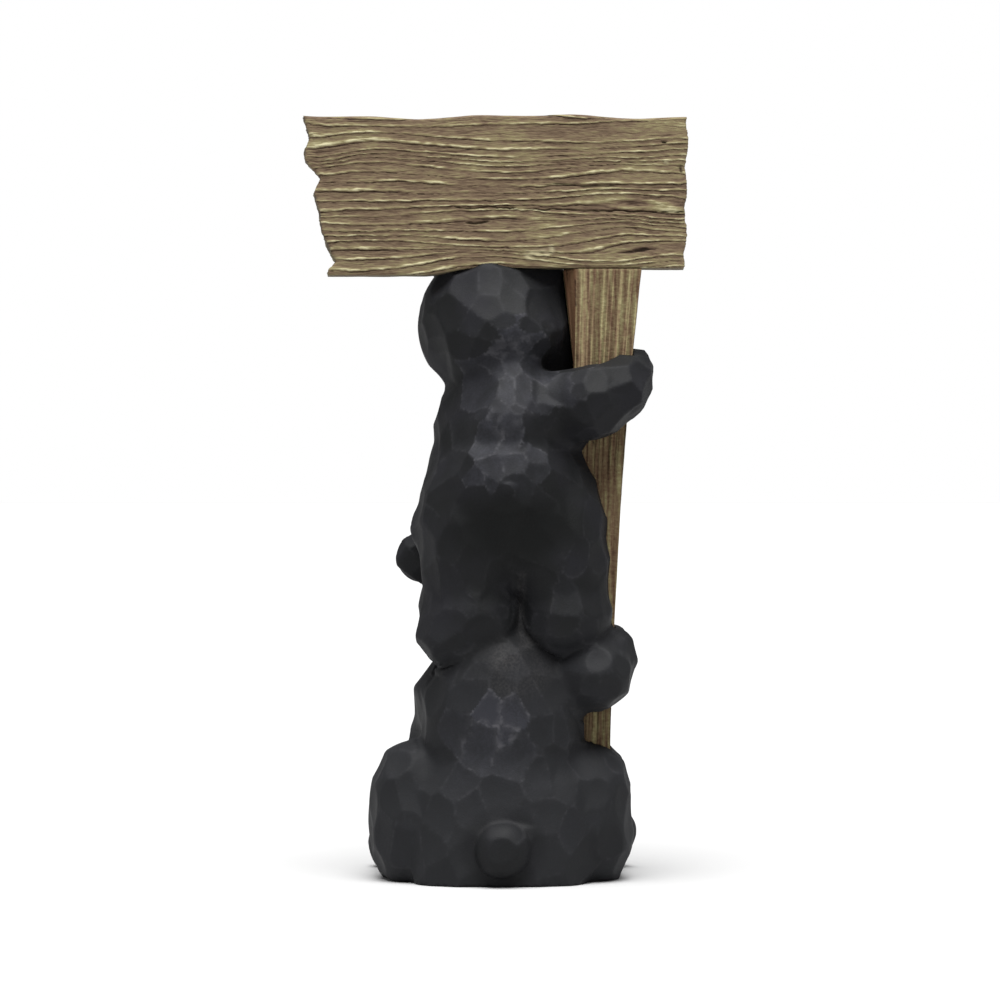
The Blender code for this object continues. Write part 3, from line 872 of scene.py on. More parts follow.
@dataclass
class Signpost:
    """The tapering post with upright grain. Sizes are in millimetres."""

    width_top: float = 41.8
    width_foot: float = 28.5
    depth: float = 28.0
    inner_x_top: float = -49.4
    inner_x_foot: float = -42.0
    foot_z: float = 65.0
    top_z: float = 392.0
    back_y: float = 20.0
    taper_curve: float = 2.2
    chamfer_top: float = 9.0
    chamfer: float = 1.0
    chamfer_run: float = 60.0
    chamfer_depth: float = 10.0
    face_steps: tuple[int, ...] = (44, 26, 14, 66, 36)
    stations: int = 170
    ridge_pitch: float = 4.1
    ridge_depth: float = 0.80
    finish: PostPaint = field(default_factory=PostPaint)

    def inner_x(self, z: np.ndarray) -> np.ndarray:
        """Where the inner side is, at each height."""
        share = (z - self.foot_z) / (self.top_z - self.foot_z)
        return self.inner_x_foot + share * (self.inner_x_top - self.inner_x_foot)

    def outer_x(self, z: np.ndarray) -> np.ndarray:
        """Where the outer side is, at each height. It tapers most near the top."""
        share = np.maximum(0.0, (z - self.foot_z) / (self.top_z - self.foot_z))
        grown = share**self.taper_curve * (self.width_top - self.width_foot)
        return self.inner_x(z) - self.width_foot - grown

    def corners(self, z: np.ndarray, grow: float = 0.0) -> np.ndarray:
        """The section's corners, anticlockwise from above.

        Args:
            z: Heights.
            grow: How far the section stands off the post.

        Returns:
            For each height, five rows of X and Y.
        """
        outer, inner = self.outer_x(z), self.inner_x(z)
        flare = np.maximum(0.0, 1.0 - (self.top_z - z) / self.chamfer_run)
        chamfer = self.chamfer + flare * (self.chamfer_top - self.chamfer)
        front = np.full_like(z, self.back_y - self.depth)
        back = np.full_like(z, self.back_y)
        slant = grow * self.chamfer_depth / np.hypot(chamfer, self.chamfer_depth)
        sides = (
            (outer - grow, front - grow),
            (inner + chamfer + grow, front - grow),
            (inner + chamfer + grow, back - self.chamfer_depth + slant),
            (inner + slant, back + grow),
            (outer - grow, back + grow),
        )
        return np.stack([np.stack(side, axis=-1) for side in sides], axis=-2)

    def sleeve(self, steps: Sequence[int], stations: int, name: str) -> bpy.types.Mesh:
        """An upright closed tube, one unit high, cut into sides and stations.

        Args:
            steps: How many sides each face of the post has.
            stations: How many rings of faces it has.
            name: The mesh's name.

        Returns:
            The tube's mesh.
        """
        tube = bmesh.new()
        bmesh.ops.create_cone(
            tube, cap_ends=True, segments=sum(steps), radius1=1.0, radius2=1.0, depth=1.0
        )
        cut_upright_edges(tube, stations - 1)
        return mesh_from(tube, name)

    def wrap(
        self, raw: np.ndarray, steps: Sequence[int], z: np.ndarray, grow: float = 0.0
    ) -> tuple[np.ndarray, np.ndarray, np.ndarray]:
        """Wraps a tube's vertices round the post's section.

        Args:
            raw: The tube's vertices.
            steps: How many sides each face of the post has.
            z: The height that each vertex goes to.
            grow: How far the tube stands off the post.

        Returns:
            X and Y of each vertex, the face that it is on and its share along that face.
        """
        total = sum(steps)
        turn = np.arctan2(raw[:, 1], raw[:, 0]) / (2.0 * math.pi)
        index = np.round(turn * total).astype(int) % total
        starts = np.concatenate(([0], np.cumsum(steps)))
        face = np.searchsorted(starts, index, side="right") - 1
        share = (index - starts[face]) / np.array(steps)[face]
        corners = self.corners(z, grow)
        rows = np.arange(len(z))
        start = corners[rows, face]
        end = corners[rows, (face + 1) % len(steps)]
        return start + share[:, None] * (end - start), face, share

    def scars(self) -> tuple[Scar, ...]:
        """The slits and dents in the post's back and in its bevel.

        Returns:
            The scars.
        """
        return (
            Scar((-48.3, 384.0), (-48.5, 368.0), 0.9, 0.8, Coat.DARK),
            Scar((-49.0, 336.5), (-49.6, 333.0), 1.3, 0.5, Coat.DARK),
            Scar((-59.5, 281.5), (-60.0, 279.5), 1.1, 0.6, Coat.DARK),
        )

    def build(self) -> bpy.types.Object:
        """Shapes the post, cuts its grain and paints it.

        Returns:
            The post.
        """
        mesh = self.sleeve(self.face_steps, self.stations, "signpost_look")
        raw = vertex_places(mesh)
        gap = 0.4
        z = self.foot_z + (raw[:, 2] + 0.5) * (self.top_z - gap - self.foot_z)
        flat, face, share = self.wrap(raw, self.face_steps, z)
        x, y = flat[:, 0], flat[:, 1]
        upright = np.isin(face, (0, 3))
        place = np.where(upright, x, y + 70.0 * (face + 1))
        place = place + 0.9 * Wander(61).at(z / 44.0, place / 12.0)
        place = place + 0.3 * Wander(66).at(z / 9.0, place / 4.0)
        phase = place / self.ridge_pitch + 0.7 * Wander(62).at(z / 70.0, place / 6.5)
        strand = np.floor(phase)
        ridge = np.abs(np.sin(math.pi * phase)) ** 0.8
        strength = np.clip(0.75 + 0.5 * Wander(63).at(z / 24.0, 2.3 * strand), 0.2, 1.0)
        fine = Wander(64).at(z / 15.0, place / 0.8)
        mottle = Wander(65).at(z / 2.1, place / 2.1)
        height = 0.30 + 0.42 * ridge * strength + 0.10 * fine + 0.07 * mottle
        depth = self.ridge_depth * (0.85 - height)
        dark = np.zeros_like(z)
        for scar in self.scars():
            reach = scar.reach(x, z) * (y > self.back_y - self.chamfer_depth)
            depth = depth + scar.depth * reach
            dark = np.maximum(dark, reach)
        smooth_side = face == 2
        depth = np.where(smooth_side, 0.25 * depth, depth)
        from_corner = np.minimum(share, 1.0 - share)
        depth = depth + 0.45 * (from_corner < 1e-6)
        inwards = np.array(
            [(0.0, 1.0), (-1.0, 0.0), (-0.82, -0.57), (0.0, -1.0), (1.0, 0.0)]
        )[face]
        flat = flat + np.maximum(depth, 0.0)[:, None] * inwards
        move_vertices(mesh, np.column_stack((flat, z)) * MM)
        store_coat(mesh, Coat.RELIEF, height)
        store_coat(mesh, Coat.DARK, dark)
        store_coat(mesh, Coat.PALE, 0.8 * smooth_side)
        return painted_piece(mesh, self.finish, "signpost")

    def socket_cutter(self, gap: float) -> bpy.types.Object:
        """The room that the post takes out of the bears, up to above the head.

        Args:
            gap: How far the room stands off the post.

        Returns:
            The cutter, which isn't part of the model.
        """
        steps = (1, 1, 1, 1, 1)
        stations = 12
        mesh = self.sleeve(steps, stations, "socket_cutter")
        raw = vertex_places(mesh)
        low, high = self.foot_z - gap, self.top_z + gap
        z = low + (raw[:, 2] + 0.5) * (high - low)
        flat, _, _ = self.wrap(raw, steps, z, grow=gap)
        move_vertices(mesh, np.column_stack((flat, z)) * MM)
        return add_object("socket_cutter", mesh)


@dataclass(frozen=True)
class Ball:
    """A rounded mass, in millimetres: an ellipsoid at a square of 2, boxier above that."""

    centre: Point
    radii: Point
    blend: float = 9.0
    cut: float = 18.0
    square: float = 2.0

    def distance(self, points: np.ndarray) -> np.ndarray:
        """Roughly how far each point is outside the mass.

        Args:
            points: Rows of coordinates.

        Returns:
            The distance of each point.
        """
        radii = np.array(self.radii)
        share = np.abs(points - np.array(self.centre)) / radii
        level = (share**self.square).sum(axis=1) ** (1.0 / self.square)
        slope = np.linalg.norm(share ** (self.square - 1.0) / radii, axis=1)
        return (level - 1.0) * level ** (self.square - 1.0) / np.maximum(slope, 1e-9)

    def span(self) -> tuple[float, float]:
        """The mass's lowest and highest levels."""
        return self.centre[2] - self.radii[2], self.centre[2] + self.radii[2]

    def balls(self) -> list[tuple[Point, Point, float]]:
        """The balls that fill the mass: the centre, the radii and the square of each."""
        return [(self.centre, self.radii, self.square)]


@dataclass(frozen=True)
class Limb:
    """A rounded mass that tapers from one ball to another, in millimetres."""

    start: Point
    start_radius: float
    end: Point
    end_radius: float
    blend: float = 6.0
    cut: float = 14.0

    def distance(self, points: np.ndarray) -> np.ndarray:
        """How far each point is outside the limb.

        Args:
            points: Rows of coordinates.

        Returns:
            The distance of each point.
        """
        start = np.array(self.start)
        along = np.array(self.end) - start
        share = np.clip((points - start) @ along / (along @ along), 0.0, 1.0)
        radius = self.start_radius + share * (self.end_radius - self.start_radius)
        return np.linalg.norm(points - start - share[:, None] * along, axis=1) - radius

    def span(self) -> tuple[float, float]:
        """The limb's lowest and highest levels.

        Returns:
            The two levels.
        """
        low = min(self.start[2] - self.start_radius, self.end[2] - self.end_radius)
        high = max(self.start[2] + self.start_radius, self.end[2] + self.end_radius)
        return low, high

    def balls(self) -> list[tuple[Point, Point, float]]:
        """The balls that fill the limb.

        Returns:
            Each ball's centre, radii and square.
        """
        start, end = Vector(self.start), Vector(self.end)
        least = min(self.start_radius, self.end_radius)
        steps = max(2, math.ceil((end - start).length / (0.4 * least)))
        found = []
        for step in range(steps + 1):
            share = step / steps
            radius = self.start_radius + share * (self.end_radius - self.start_radius)
            found.append((tuple(start.lerp(end, share)), (radius,) * 3, 2.0))
        return found


@dataclass(frozen=True)
class Cut:
    """A fine groove or hollow pressed into the surface along a line, in millimetres.

    inwards is how much a distance from front to back counts, from 0 to 1.
    """

    start: Point
    end: Point
    radius: float
    depth: float
    inwards: float = 0.2

    def press(self, points: np.ndarray) -> np.ndarray:
        """How deep the surface is pressed in.

        Args:
            points: Rows of coordinates.

        Returns:
            The depth at each point.
        """
        share = np.array((1.0, self.inwards, 1.0))
        away = segment_distance(points * share, self.start * share, self.end * share)
        return self.depth * (1.0 - smoothstep(0.0, self.radius, away))


def smooth_union(first: np.ndarray, second: np.ndarray, blend: float) -> np.ndarray:
    """Joins two distances with a fillet about a quarter of blend deep."""
    reach = np.maximum(blend - np.abs(first - second), 0.0) / blend
    return np.minimum(first, second) - reach**2 * blend / 4.0


@dataclass(frozen=True)
class PlacedCuts:
    """The chisel cuts that stand out on the backs.

    Each row holds X, height and width in millimetres, the degrees that the cut looks up and
    turns to +X, and how far its paint is rubbed and painted lighter as a highlight, from 0 to 1.
    """

    head: tuple[CutRow, ...] = (
        (22, 376, 16, 36, 18, 0.2), (5, 375, 17, 40, 5, 0.3), (-13, 381, 16, 38, -10, 0.2),
        (-11, 369, 16, 33, -8, 0.1), (4, 363, 16, 30, 6, 0.1), (32, 364, 15, 12, 35, 0),
        (18, 356, 14, 4, 20, 0.2), (-7, 357, 14, 12, 0, 0.3), (6, 351, 14, -6, 8, 0.1),
        (-20, 355, 15, 2, -12, 0.1), (-31, 360, 15, 0, -35, 0), (-31, 376, 16, 10, -35, 0.1),
        (27, 345, 18, -22, 25, 0), (14, 339, 15, -22, 8, 0), (42, 352, 16, -6, 60, 0),
        (42, 339, 15, -16, 55, 0), (-2, 344, 15, -14, 0, 0.1), (-17, 343, 13, -8, -8, 0),
        (-38, 346, 15, -5, -40, 0),
    )
    shoulders: tuple[CutRow, ...] = (
        (-11, 334, 14, 52, 0, 1), (4, 328, 14, 36, 14, 0.7), (-8, 325, 14, 42, 2, 0.8),
        (-26, 326, 15, 34, -14, 0.8), (-26, 338, 9, 14, -20, 0.4), (-3, 314, 22, 32, 4, 0.8),
        (-16, 314, 14, 28, -6, 0.7), (-27, 314, 14, 25, -14, 0.5), (1, 302, 15, 22, 6, 0.6),
        (-13, 301, 13, 6, 0, 0.5), (-23, 300, 13, 8, -12, 0.4), (17, 320, 18, 12, 32, 0.6),
        (29, 316, 15, 4, 55, 0), (16, 298, 16, 10, 30, 0.3), (4, 293, 14, 20, 10, 0.5),
        (-11, 289, 16, 14, 0, 0.5), (31, 294, 15, 4, 52, 0), (-23, 286, 14, 2, -12, 0.3),
        (-38, 281, 16, -4, -22, 0), (-33, 291, 15, -14, 0, 0),
    )
    rump: tuple[CutRow, ...] = (
        (13, 274, 18, 45, 12, 1), (-5, 277, 17, 42, 0, 0.8), (-25, 273, 15, 25, -18, 0.6),
        (8, 263, 18, 32, 8, 0.8), (-11, 265, 16, 30, -4, 0.7), (18, 253, 14, 25, 16, 0.7),
        (-26, 260, 13, 16, -16, 0.4), (4, 250, 11, 14, 4, 0.6), (-16, 248, 11, 6, -6, 0.4),
        (34, 252, 18, -2, 40, 0), (-41, 252, 20, 0, -30, 0), (-40, 271, 15, -2, -30, 0.1),
        (32, 272, 16, 8, 45, 0.1), (20, 241, 15, -8, 20, 0), (0, 238, 16, -14, 2, 0),
    )
    arm: tuple[CutRow, ...] = (
        (-46, 321, 18, 34, 0, 0.1), (-61, 320, 18, 32, -5, 0), (-42, 312, 14, 22, 4, 0.1),
        (-75, 324, 15, 26, -25, 0), (-63, 305, 19, -8, -4, 0), (-46, 299, 19, -12, 5, 0),
        (-81, 309, 18, 0, -30, 0), (-90, 325, 15, 12, -50, 0.2), (-70, 293, 18, -26, -10, 0),
    )
    lower_back: tuple[CutRow, ...] = (
        (8, 100, 20, 32, 4, 3.0), (-9, 100, 16, 26, -6, 1.4), (-5, 84, 17, 28, -2, 1.8),
        (23, 89, 15, 20, 12, 0.4), (14, 79, 16, 18, 6, 0.7), (-6, 74, 13, 16, -4, 0.5),
        (-24, 89, 16, 14, -16, 0.2), (-23, 72, 18, 10, -12, 0.2), (-39, 77, 16, 6, -22, 0.1),
        (-20, 110, 16, 14, -16, 0.2), (-2, 25, 23, 0, 0, 0), (25, 68, 13, 8, 12, 0.3),
        (-1, 62, 16, 6, 0, 0.2), (17, 56, 16, 2, 8, 0.2), (42, 73, 16, 10, 26, 0.1),
        (36, 53, 18, 0, 20, 0.1), (-28, 53, 20, -2, -14, 0.1), (19, 114, 18, 22, 12, 0.2),
        (-2, 119, 16, 24, 0, 0.2), (16, 130, 18, 30, 12, 0.2), (-9, 132, 16, 32, -4, 0.3),
    )
    depth: float = 1.3
    lean: float = 0.12

    def rows(self) -> np.ndarray:
        """Every placed cut.

        Returns:
            One cut to a row.
        """
        groups = self.head + self.shoulders + self.rump + self.arm + self.lower_back
        return np.array(groups, dtype=float)


@dataclass(frozen=True)
class Chisel:
    """Where the tool went: the cuts' centres, depths, leans and rubbed paint with painted highlight,
    one to a row.
    """

    centres: np.ndarray
    depths: np.ndarray
    leans: np.ndarray
    rubs_and_highlights: np.ndarray


@dataclass
class Bears:
    """The sitting bear and the bear that stands on its shoulders, carved as one."""

    post: Signpost
    board: SignBoard
    voxel: float = 1.45
    most_triangles: int = 190_000
    crease_blend: float = 3.0
    mass_reach: float = 20.0
    far_away: float = 60.0
    cut_lattice: float = 10.0
    cut_spacing_share: float = 0.80
    cut_tool_radius: float = 100.0
    cut_mean_depth: float = 1.1
    cut_depth_spread: float = 0.5
    cut_depth_range: tuple[float, float] = (-1.0, 3.6)
    cut_tilt: float = 0.09
    cut_ridge_sharpness: float = 5.0
    cut_facing: float = 0.25
    rest_rub: float = 0.25
    ridge_width: float = 0.22
    placed: PlacedCuts = field(default_factory=PlacedCuts)
    lower_muzzle: Limb = Limb((-1, -60, 161), 27, (-1, -86, 156), 18, blend=8)
    lower_nose: Ball = Ball((-1, -103, 163), (10, 6, 7.5), blend=2, cut=9)
    upper_muzzle: Limb = Limb((5, -42, 345), 25, (5, -66, 340), 17, blend=8)
    upper_nose: Ball = Ball((5, -82, 347), (9.5, 6, 7), blend=2, cut=9)
    tail_place: tuple[float, float] = (-2.0, 24.0)
    tail_radius: float = 17.5
    dusty_nape: tuple[Point, Point] = ((-9.0, 40.0, 138.0), (30.0, 60.0, 26.0))
    # Where the painted shade under the rump is centred, and how far it reaches.
    rump_painted_shade: tuple[Point, Point] = ((-9.0, 40.0, 226.0), (50.0, 60.0, 27.0))
    leg_parting: tuple[Point, Point] = ((-14.0, 0.0, 196.0), (-13.0, 0.0, 158.0))
    gap: float = 0.4
    finish: BlackPaint = field(default_factory=BlackPaint)

    def __post_init__(self) -> None:
        """Works the masses out from the post that the arms hug."""
        self.front = self.post.back_y - self.post.depth
        self.eyes = [
            Ball((x + side * apart, y, z), radii, blend=3, cut=8)
            for x, apart, y, z, radii in (
                (0.0, 19.0, -76.0, 183.0, (6, 5, 6)),
                (5.0, 17.0, -53.0, 364.0, (5.5, 5, 5.5)),
            )
            for side in (1, -1)
        ]
        self.lower = self.lower_bear()
        self.upper = self.upper_bear()

    def lower_bear(self) -> list[Ball | Limb]:
        """The sitting bear's masses. Its right is at -X, where its arm goes round the post.

        Returns:
            The masses.
        """
        grip = float(self.post.outer_x(150.0))
        front = self.front
        masses = [
            Ball((-2, 10, 98), (52.5, 47, 56), cut=24, square=2.5),
            Ball((-1, -14, 71), (52, 47, 50)),
            Ball((-1, 20, 32), (60, 42, 54), cut=24, square=3.0),
            Ball((0, 24, 2), (54, 40, 60), cut=24, square=3.0),
            Ball((2, 0, 6), (74, 40, 34)),
            Limb((0, 20, 132), 34, (-1, -14, 161), 40, blend=12, cut=18),
            Ball((-1, -34, 172), (54.5, 48, 52), cut=20),
            self.lower_muzzle,
            self.lower_nose,
            Ball((-2, 62, 23), (19, 15, 19), blend=1.0, cut=30),
            Ball((65, -60, 16), (23, 18, 24), blend=5, cut=14),
            Ball((-68, -58, 22), (22.5, 18, 24), blend=5, cut=14),
        ]
        for side, eye in zip((1, -1), self.eyes[:2]):
            masses += [
                Ball((side * 48 - 1, 4, 40), (36.5, 44, 50), blend=5, cut=22, square=2.6),
                Limb((side * 55, -6, 36), 26, (side * 60, -38, 30), 22, blend=8),
                Limb((side * 61, -36, 28), 21, (side * 64, -58, 16), 16),
                Ball((side * 52.5, -28, 205), (15, 9, 17), blend=4, cut=11),
                eye,
            ]
        return masses + [
            Limb((34, 4, 118), 21, (39, -22, 90), 18),
            Limb((39, -22, 90), 18, (38, -50, 77), 15),
            Ball((36, -56, 73), (17, 14, 13), blend=4),
            Limb((-36, 16, 124), 23, (grip + 13.5, 28, 132), 22.5),
            Limb((grip + 11.5, 27, 134), 22.5, (grip + 5, 14, 143), 19),
            Limb((grip + 4, 13, 145), 17, (grip + 2, front - 4, 149), 14),
            Ball((grip + 12, front - 11, 148), (20, 11, 15), blend=4),
            Limb((-13.5, 11, 202), 9, (-13.5, 17, 150), 23, blend=1.5),
        ]

    def upper_bear(self) -> list[Ball | Limb]:
        """The standing bear's masses. Its right arm goes round the post.

        Returns:
            The masses.
        """
        grip = float(self.post.outer_x(320.0))
        front = self.front
        masses = [
            Ball((5, -12, 357), (47.5, 48, 49), cut=23),
            Ball((-2, 14, 350), (38, 27, 22), blend=12, cut=18),
            Ball((-20, -10, 354), (31, 23, 54), blend=10, cut=18),
            self.upper_muzzle,
            self.upper_nose,
            Limb((3, -4, 322), 32, (0, 3, 296), 37, blend=8, cut=17),
            Limb((-8, 12, 341), 16, (-7, 30, 290), 29, blend=6, cut=15),
            Ball((-4, 6, 274), (43, 40, 52), cut=18, square=2.3),
            Ball((-7, 4, 266), (54, 36, 42)),
            Ball((-7, 8, 236), (57, 47, 54), blend=5, cut=22, square=2.3),
            Ball((-5, 25, 254), (41, 41, 36), blend=6, cut=16, square=2.2),
            Ball((-7, 4, 224), (64, 44, 32), cut=22),
            Ball((18, 14, 220), (34, 41, 48), blend=6, cut=22, square=2.4),
            Ball((-35, 13, 218), (33, 41, 50), blend=6, cut=22, square=2.4),
            Ball((-6, -8, 255), (46, 42, 44)),
            Ball((-4, 62, 251), (10, 8, 8), blend=2, cut=12),
            Limb((19, 17, 200), 32, (19, 22, 172), 31, cut=18),
            Limb((32, 30, 158), 21, (8, 32, 166), 19, blend=9, cut=17),
            Limb((-42, 18, 200), 29, (-42, 23, 174), 28, cut=18),
            Ball((-43, 26, 166), (28, 26, 22), blend=9, cut=17),
            Limb((-24, 16, 298), 28, (-56, 30, 305), 23, cut=16),
            Limb((-58, 31, 305), 22.5, (grip + 10, 27, 313), 20, cut=16),
            Limb((grip + 2.5, 15, 321), 17, (grip - 2, front - 4, 329), 14),
            Ball((grip + 12, front - 12, 330), (20, 12, 15), blend=4),
            Limb((21, 0, 295), 21, (29, -30, 273), 15),
            Limb((29, -30, 273), 14, (24, -54, 239), 12),
            Ball((23, -58, 233), (15, 15, 11), blend=4),
        ]
        for side, eye in zip((1, -1), self.eyes[2:]):
            masses += [
                Ball((5 + side * 29, -24, 398), (13.5, 8, 13.5), blend=4, cut=9),
                eye,
            ]
        return masses

    def figure_distance(self, masses: list[Ball | Limb], points: np.ndarray) -> np.ndarray:
        """How far each point is outside one bear. Each mass counts for the levels near it.

        Args:
            masses: The bear's masses.
            points: Rows of coordinates.

        Returns:
            The distance of each point.
        """
        rising = np.argsort(points[:, 2])
        levels = points[rising, 2]
        joined = np.full(len(points), self.far_away)
        for mass in masses:
            low, high = mass.span()
            first = np.searchsorted(levels, low - self.mass_reach)
            last = np.searchsorted(levels, high + self.mass_reach)
            near = rising[first:last]
            joined[near] = smooth_union(joined[near], mass.distance(points[near]), mass.blend)
        return joined

    def distance(self, points: np.ndarray) -> np.ndarray:
        """How far each point is outside the pair of bears.

        Args:
            points: Rows of coordinates.

        Returns:
            The distance of each point.
        """
        return smooth_union(
            self.figure_distance(self.lower, points),
            self.figure_distance(self.upper, points),
            self.crease_blend,
        )

    def outward(self, points: np.ndarray) -> np.ndarray:
        """The unit normals of the bears' smooth surface.

        Args:
            points: Rows of coordinates near the surface.

        Returns:
            Rows of unit vectors.
        """
        step = 0.2
        slope = np.empty_like(points)
        for axis in range(3):
            shift = np.zeros(3)
            shift[axis] = step
            slope[:, axis] = self.distance(points + shift) - self.distance(points - shift)
        return slope / np.maximum(np.linalg.norm(slope, axis=1, keepdims=True), 1e-9)

    def settle(self, points: np.ndarray, passes: int) -> np.ndarray:
        """Moves points along the normals until they lie on the smooth surface.

        Args:
            points: Rows of coordinates near the surface.
            passes: How many times they move.

        Returns:
            The moved points.
        """
        longest_step = 4.0
        for _ in range(passes):
            away = np.clip(self.distance(points), -longest_step, longest_step)
            points = points - away[:, None] * self.outward(points)
        return points

    def placed_cuts(self) -> tuple[np.ndarray, np.ndarray, np.ndarray]:
        """The cuts that stand out on the backs, found by reaching in from behind.

        Returns:
            Their centres, widths and leans.
        """
        behind = 110.0
        safe_share = 0.8
        longest_step = 18.0
        rows = self.placed.rows()
        centres = np.column_stack((rows[:, 0], np.full(len(rows), behind), rows[:, 1]))
        for _ in range(60):
            centres[:, 1] -= np.clip(safe_share * self.distance(centres), 0.0, longest_step)
        centres = self.settle(centres, passes=3)
        up, turn = np.radians(rows[:, 3:5]).T
        wanted = np.column_stack(
            (np.sin(turn) * np.cos(up), np.cos(turn) * np.cos(up), np.sin(up))
        )
        lean = wanted - self.outward(centres)
        size = np.maximum(np.linalg.norm(lean, axis=1, keepdims=True), 1e-9)
        return centres, rows[:, 2], lean * np.minimum(1.0, self.placed.lean / size)

    def all_cuts(self) -> Chisel:
        """The placed cuts, with the rest filled in round them by a fixed draw.

        Returns:
            Every chisel cut.
        """
        draw = np.random.default_rng(7)
        cell = self.cut_lattice
        low = np.array((-110.0, -125.0, -12.0))
        high = np.array((95.0, 100.0, 425.0))
        counts = np.ceil((high - low) / cell).astype(int)
        lattice = np.stack(np.meshgrid(*map(np.arange, counts), indexing="ij"), axis=-1)
        jitter = draw.random((lattice[..., 0].size, 3))
        points = low + cell * (lattice.reshape(-1, 3) + jitter)
        points = points[np.abs(self.distance(points)) < 0.6 * cell]
        points = self.settle(points, passes=5)
        points = points[np.abs(self.distance(points)) < 0.5]

        masses = self.lower + self.upper
        nearest = np.argmin([np.abs(mass.distance(points)) for mass in masses], axis=0)
        point_widths = np.array([mass.cut for mass in masses])[nearest]
        centres, widths, placed_leans = self.placed_cuts()
        placed = len(centres)
        for index in draw.permutation(len(points)):
            gaps = np.linalg.norm(centres - points[index], axis=1)
            if np.all(gaps > self.cut_spacing_share * 0.5 * (widths + point_widths[index])):
                centres = np.vstack((centres, points[index]))
                widths = np.append(widths, point_widths[index])

        rest = len(centres) - placed
        rest_depths = self.cut_mean_depth + self.cut_depth_spread * draw.uniform(-1, 1, rest)
        rest_leans = self.cut_tilt * draw.uniform(-1, 1, (rest, 3))
        rest_rubs = self.rest_rub * draw.random(rest) ** 2
        return Chisel(
            centres,
            np.concatenate((np.full(placed, self.placed.depth), rest_depths)),
            np.vstack((placed_leans, rest_leans)),
            np.concatenate((self.placed.rows()[:, 5], rest_rubs)),
        )

    def chisel(self, points: np.ndarray, normals: np.ndarray) -> tuple[np.ndarray, ...]:
        """Cuts the smooth surface back to shallow facets, as a gouge leaves them.

        Args:
            points: Rows of coordinates on the smooth surface.
            normals: The surface's normals there.

        Returns:
            The cut points, how near a ridge each one is, and how far its facet is rubbed and painted
            lighter as a highlight.
        """
        cuts = self.all_cuts()
        facing = self.outward(cuts.centres)
        moved = np.empty_like(points)
        ridge = np.empty(len(points))
        rub_and_highlight = np.empty(len(points))
        batch = 4000
        for first in range(0, len(points), batch):
            rows = slice(first, first + batch)
            offset = points[rows, None, :] - cuts.centres
            above = np.einsum("vcx,cx->vc", offset, facing)
            lean = np.einsum("vcx,cx->vc", offset, cuts.leans)
            span = np.einsum("vcx,vcx->vc", offset, offset)
            bowl = span / (2.0 * self.cut_tool_radius)
            depth = cuts.depths + np.minimum(above, 0.0) + lean - bowl
            depth[normals[rows] @ facing.T < self.cut_facing] = -np.inf
            ordered = np.partition(depth, -2, axis=1)
            deepest = ordered[:, -1:]
            ridge[rows] = deepest[:, 0] - ordered[:, -2]
            rub_and_highlight[rows] = cuts.rubs_and_highlights[depth.argmax(axis=1)]
            weight = np.exp(self.cut_ridge_sharpness * (depth - deepest)).sum(axis=1)
            depth = deepest[:, 0] + np.log(weight) / self.cut_ridge_sharpness
            depth = np.clip(depth, *self.cut_depth_range)
            moved[rows] = points[rows] - depth[:, None] * normals[rows]
        return moved, np.exp(-ridge / self.ridge_width), rub_and_highlight

    def eye_bumps(self) -> list[Cut]:
        """The eyeballs that stand out of the heads, as cuts outwards.

        Returns:
            The cuts.
        """
        return [
            Cut(eye.centre, (*eye.centre[:2], eye.centre[2] + 0.5), 6.0, rise)
            for eye, rise in zip(self.eyes, (-2.6, -2.6, -4.4, -4.4))
        ]

    def fine_cuts(self) -> list[Cut]:
        """The eyes, the grooves between the toes and claws, and the hollows in the ears.

        Returns:
            The cuts.
        """
        cuts = self.eye_bumps()
        for side, foot in ((1, (65.0, -60.0, 16.0)), (-1, (-68.5, -58.0, 22.0))):
            for turn in (-0.5, 0.0, 0.5):
                x = foot[0] + 15.0 * turn
                cuts.append(
                    Cut((x, foot[1] - 15.0, foot[2] + 15.0), (x, foot[1] - 18.0, 4.0), 2.4, 2.6)
                )
        paws = (
            ((36.0, -56.0, 73.0), (17.0, 14.0, 13.0)),
            ((23.0, -58.0, 233.0), (15.0, 15.0, 11.0)),
        )
        for (x, y, z), (width, reach, thick) in paws:
            for turn in (-0.33, 0.0, 0.33):
                across = x + turn * width * 1.25
                cuts.append(
                    Cut((across, y - reach, z + 3.0), (across, y - reach, z - thick), 2.2, 2.0)
                )
        for grip_z, rise in ((150.0, 148.0), (320.0, 330.0)):
            grip = float(self.post.outer_x(grip_z))
            for step in (-5.0, 0.0, 5.0):
                cuts.append(
                    Cut(
                        (grip + 15.0, self.front - 22.0, rise + step),
                        (grip + 31.0, self.front - 16.0, rise + 1.4 * step),
                        2.2,
                        2.0,
                    )
                )
        for centre_x, spread, y, z in ((-1.0, 52.5, -37.0, 206.0), (5.0, 29.0, -32.5, 399.0)):
            for side in (1, -1):
                ear = centre_x + side * spread
                cuts.append(Cut((ear, y, z - 5.0), (ear, y, z + 4.0), 9.5, 3.2, inwards=1.0))
        for x, y, z in ((-1.0, -104.0, 148.0), (5.0, -83.0, 332.0)):
            cuts.append(Cut((x, y, z + 9.0), (x, y + 2.0, z), 1.6, 1.4))
            for side in (1, -1):
                cuts.append(Cut((x, y + 1.0, z), (x + side * 9.0, y + 9.0, z - 3.5), 1.6, 1.4))
        return cuts

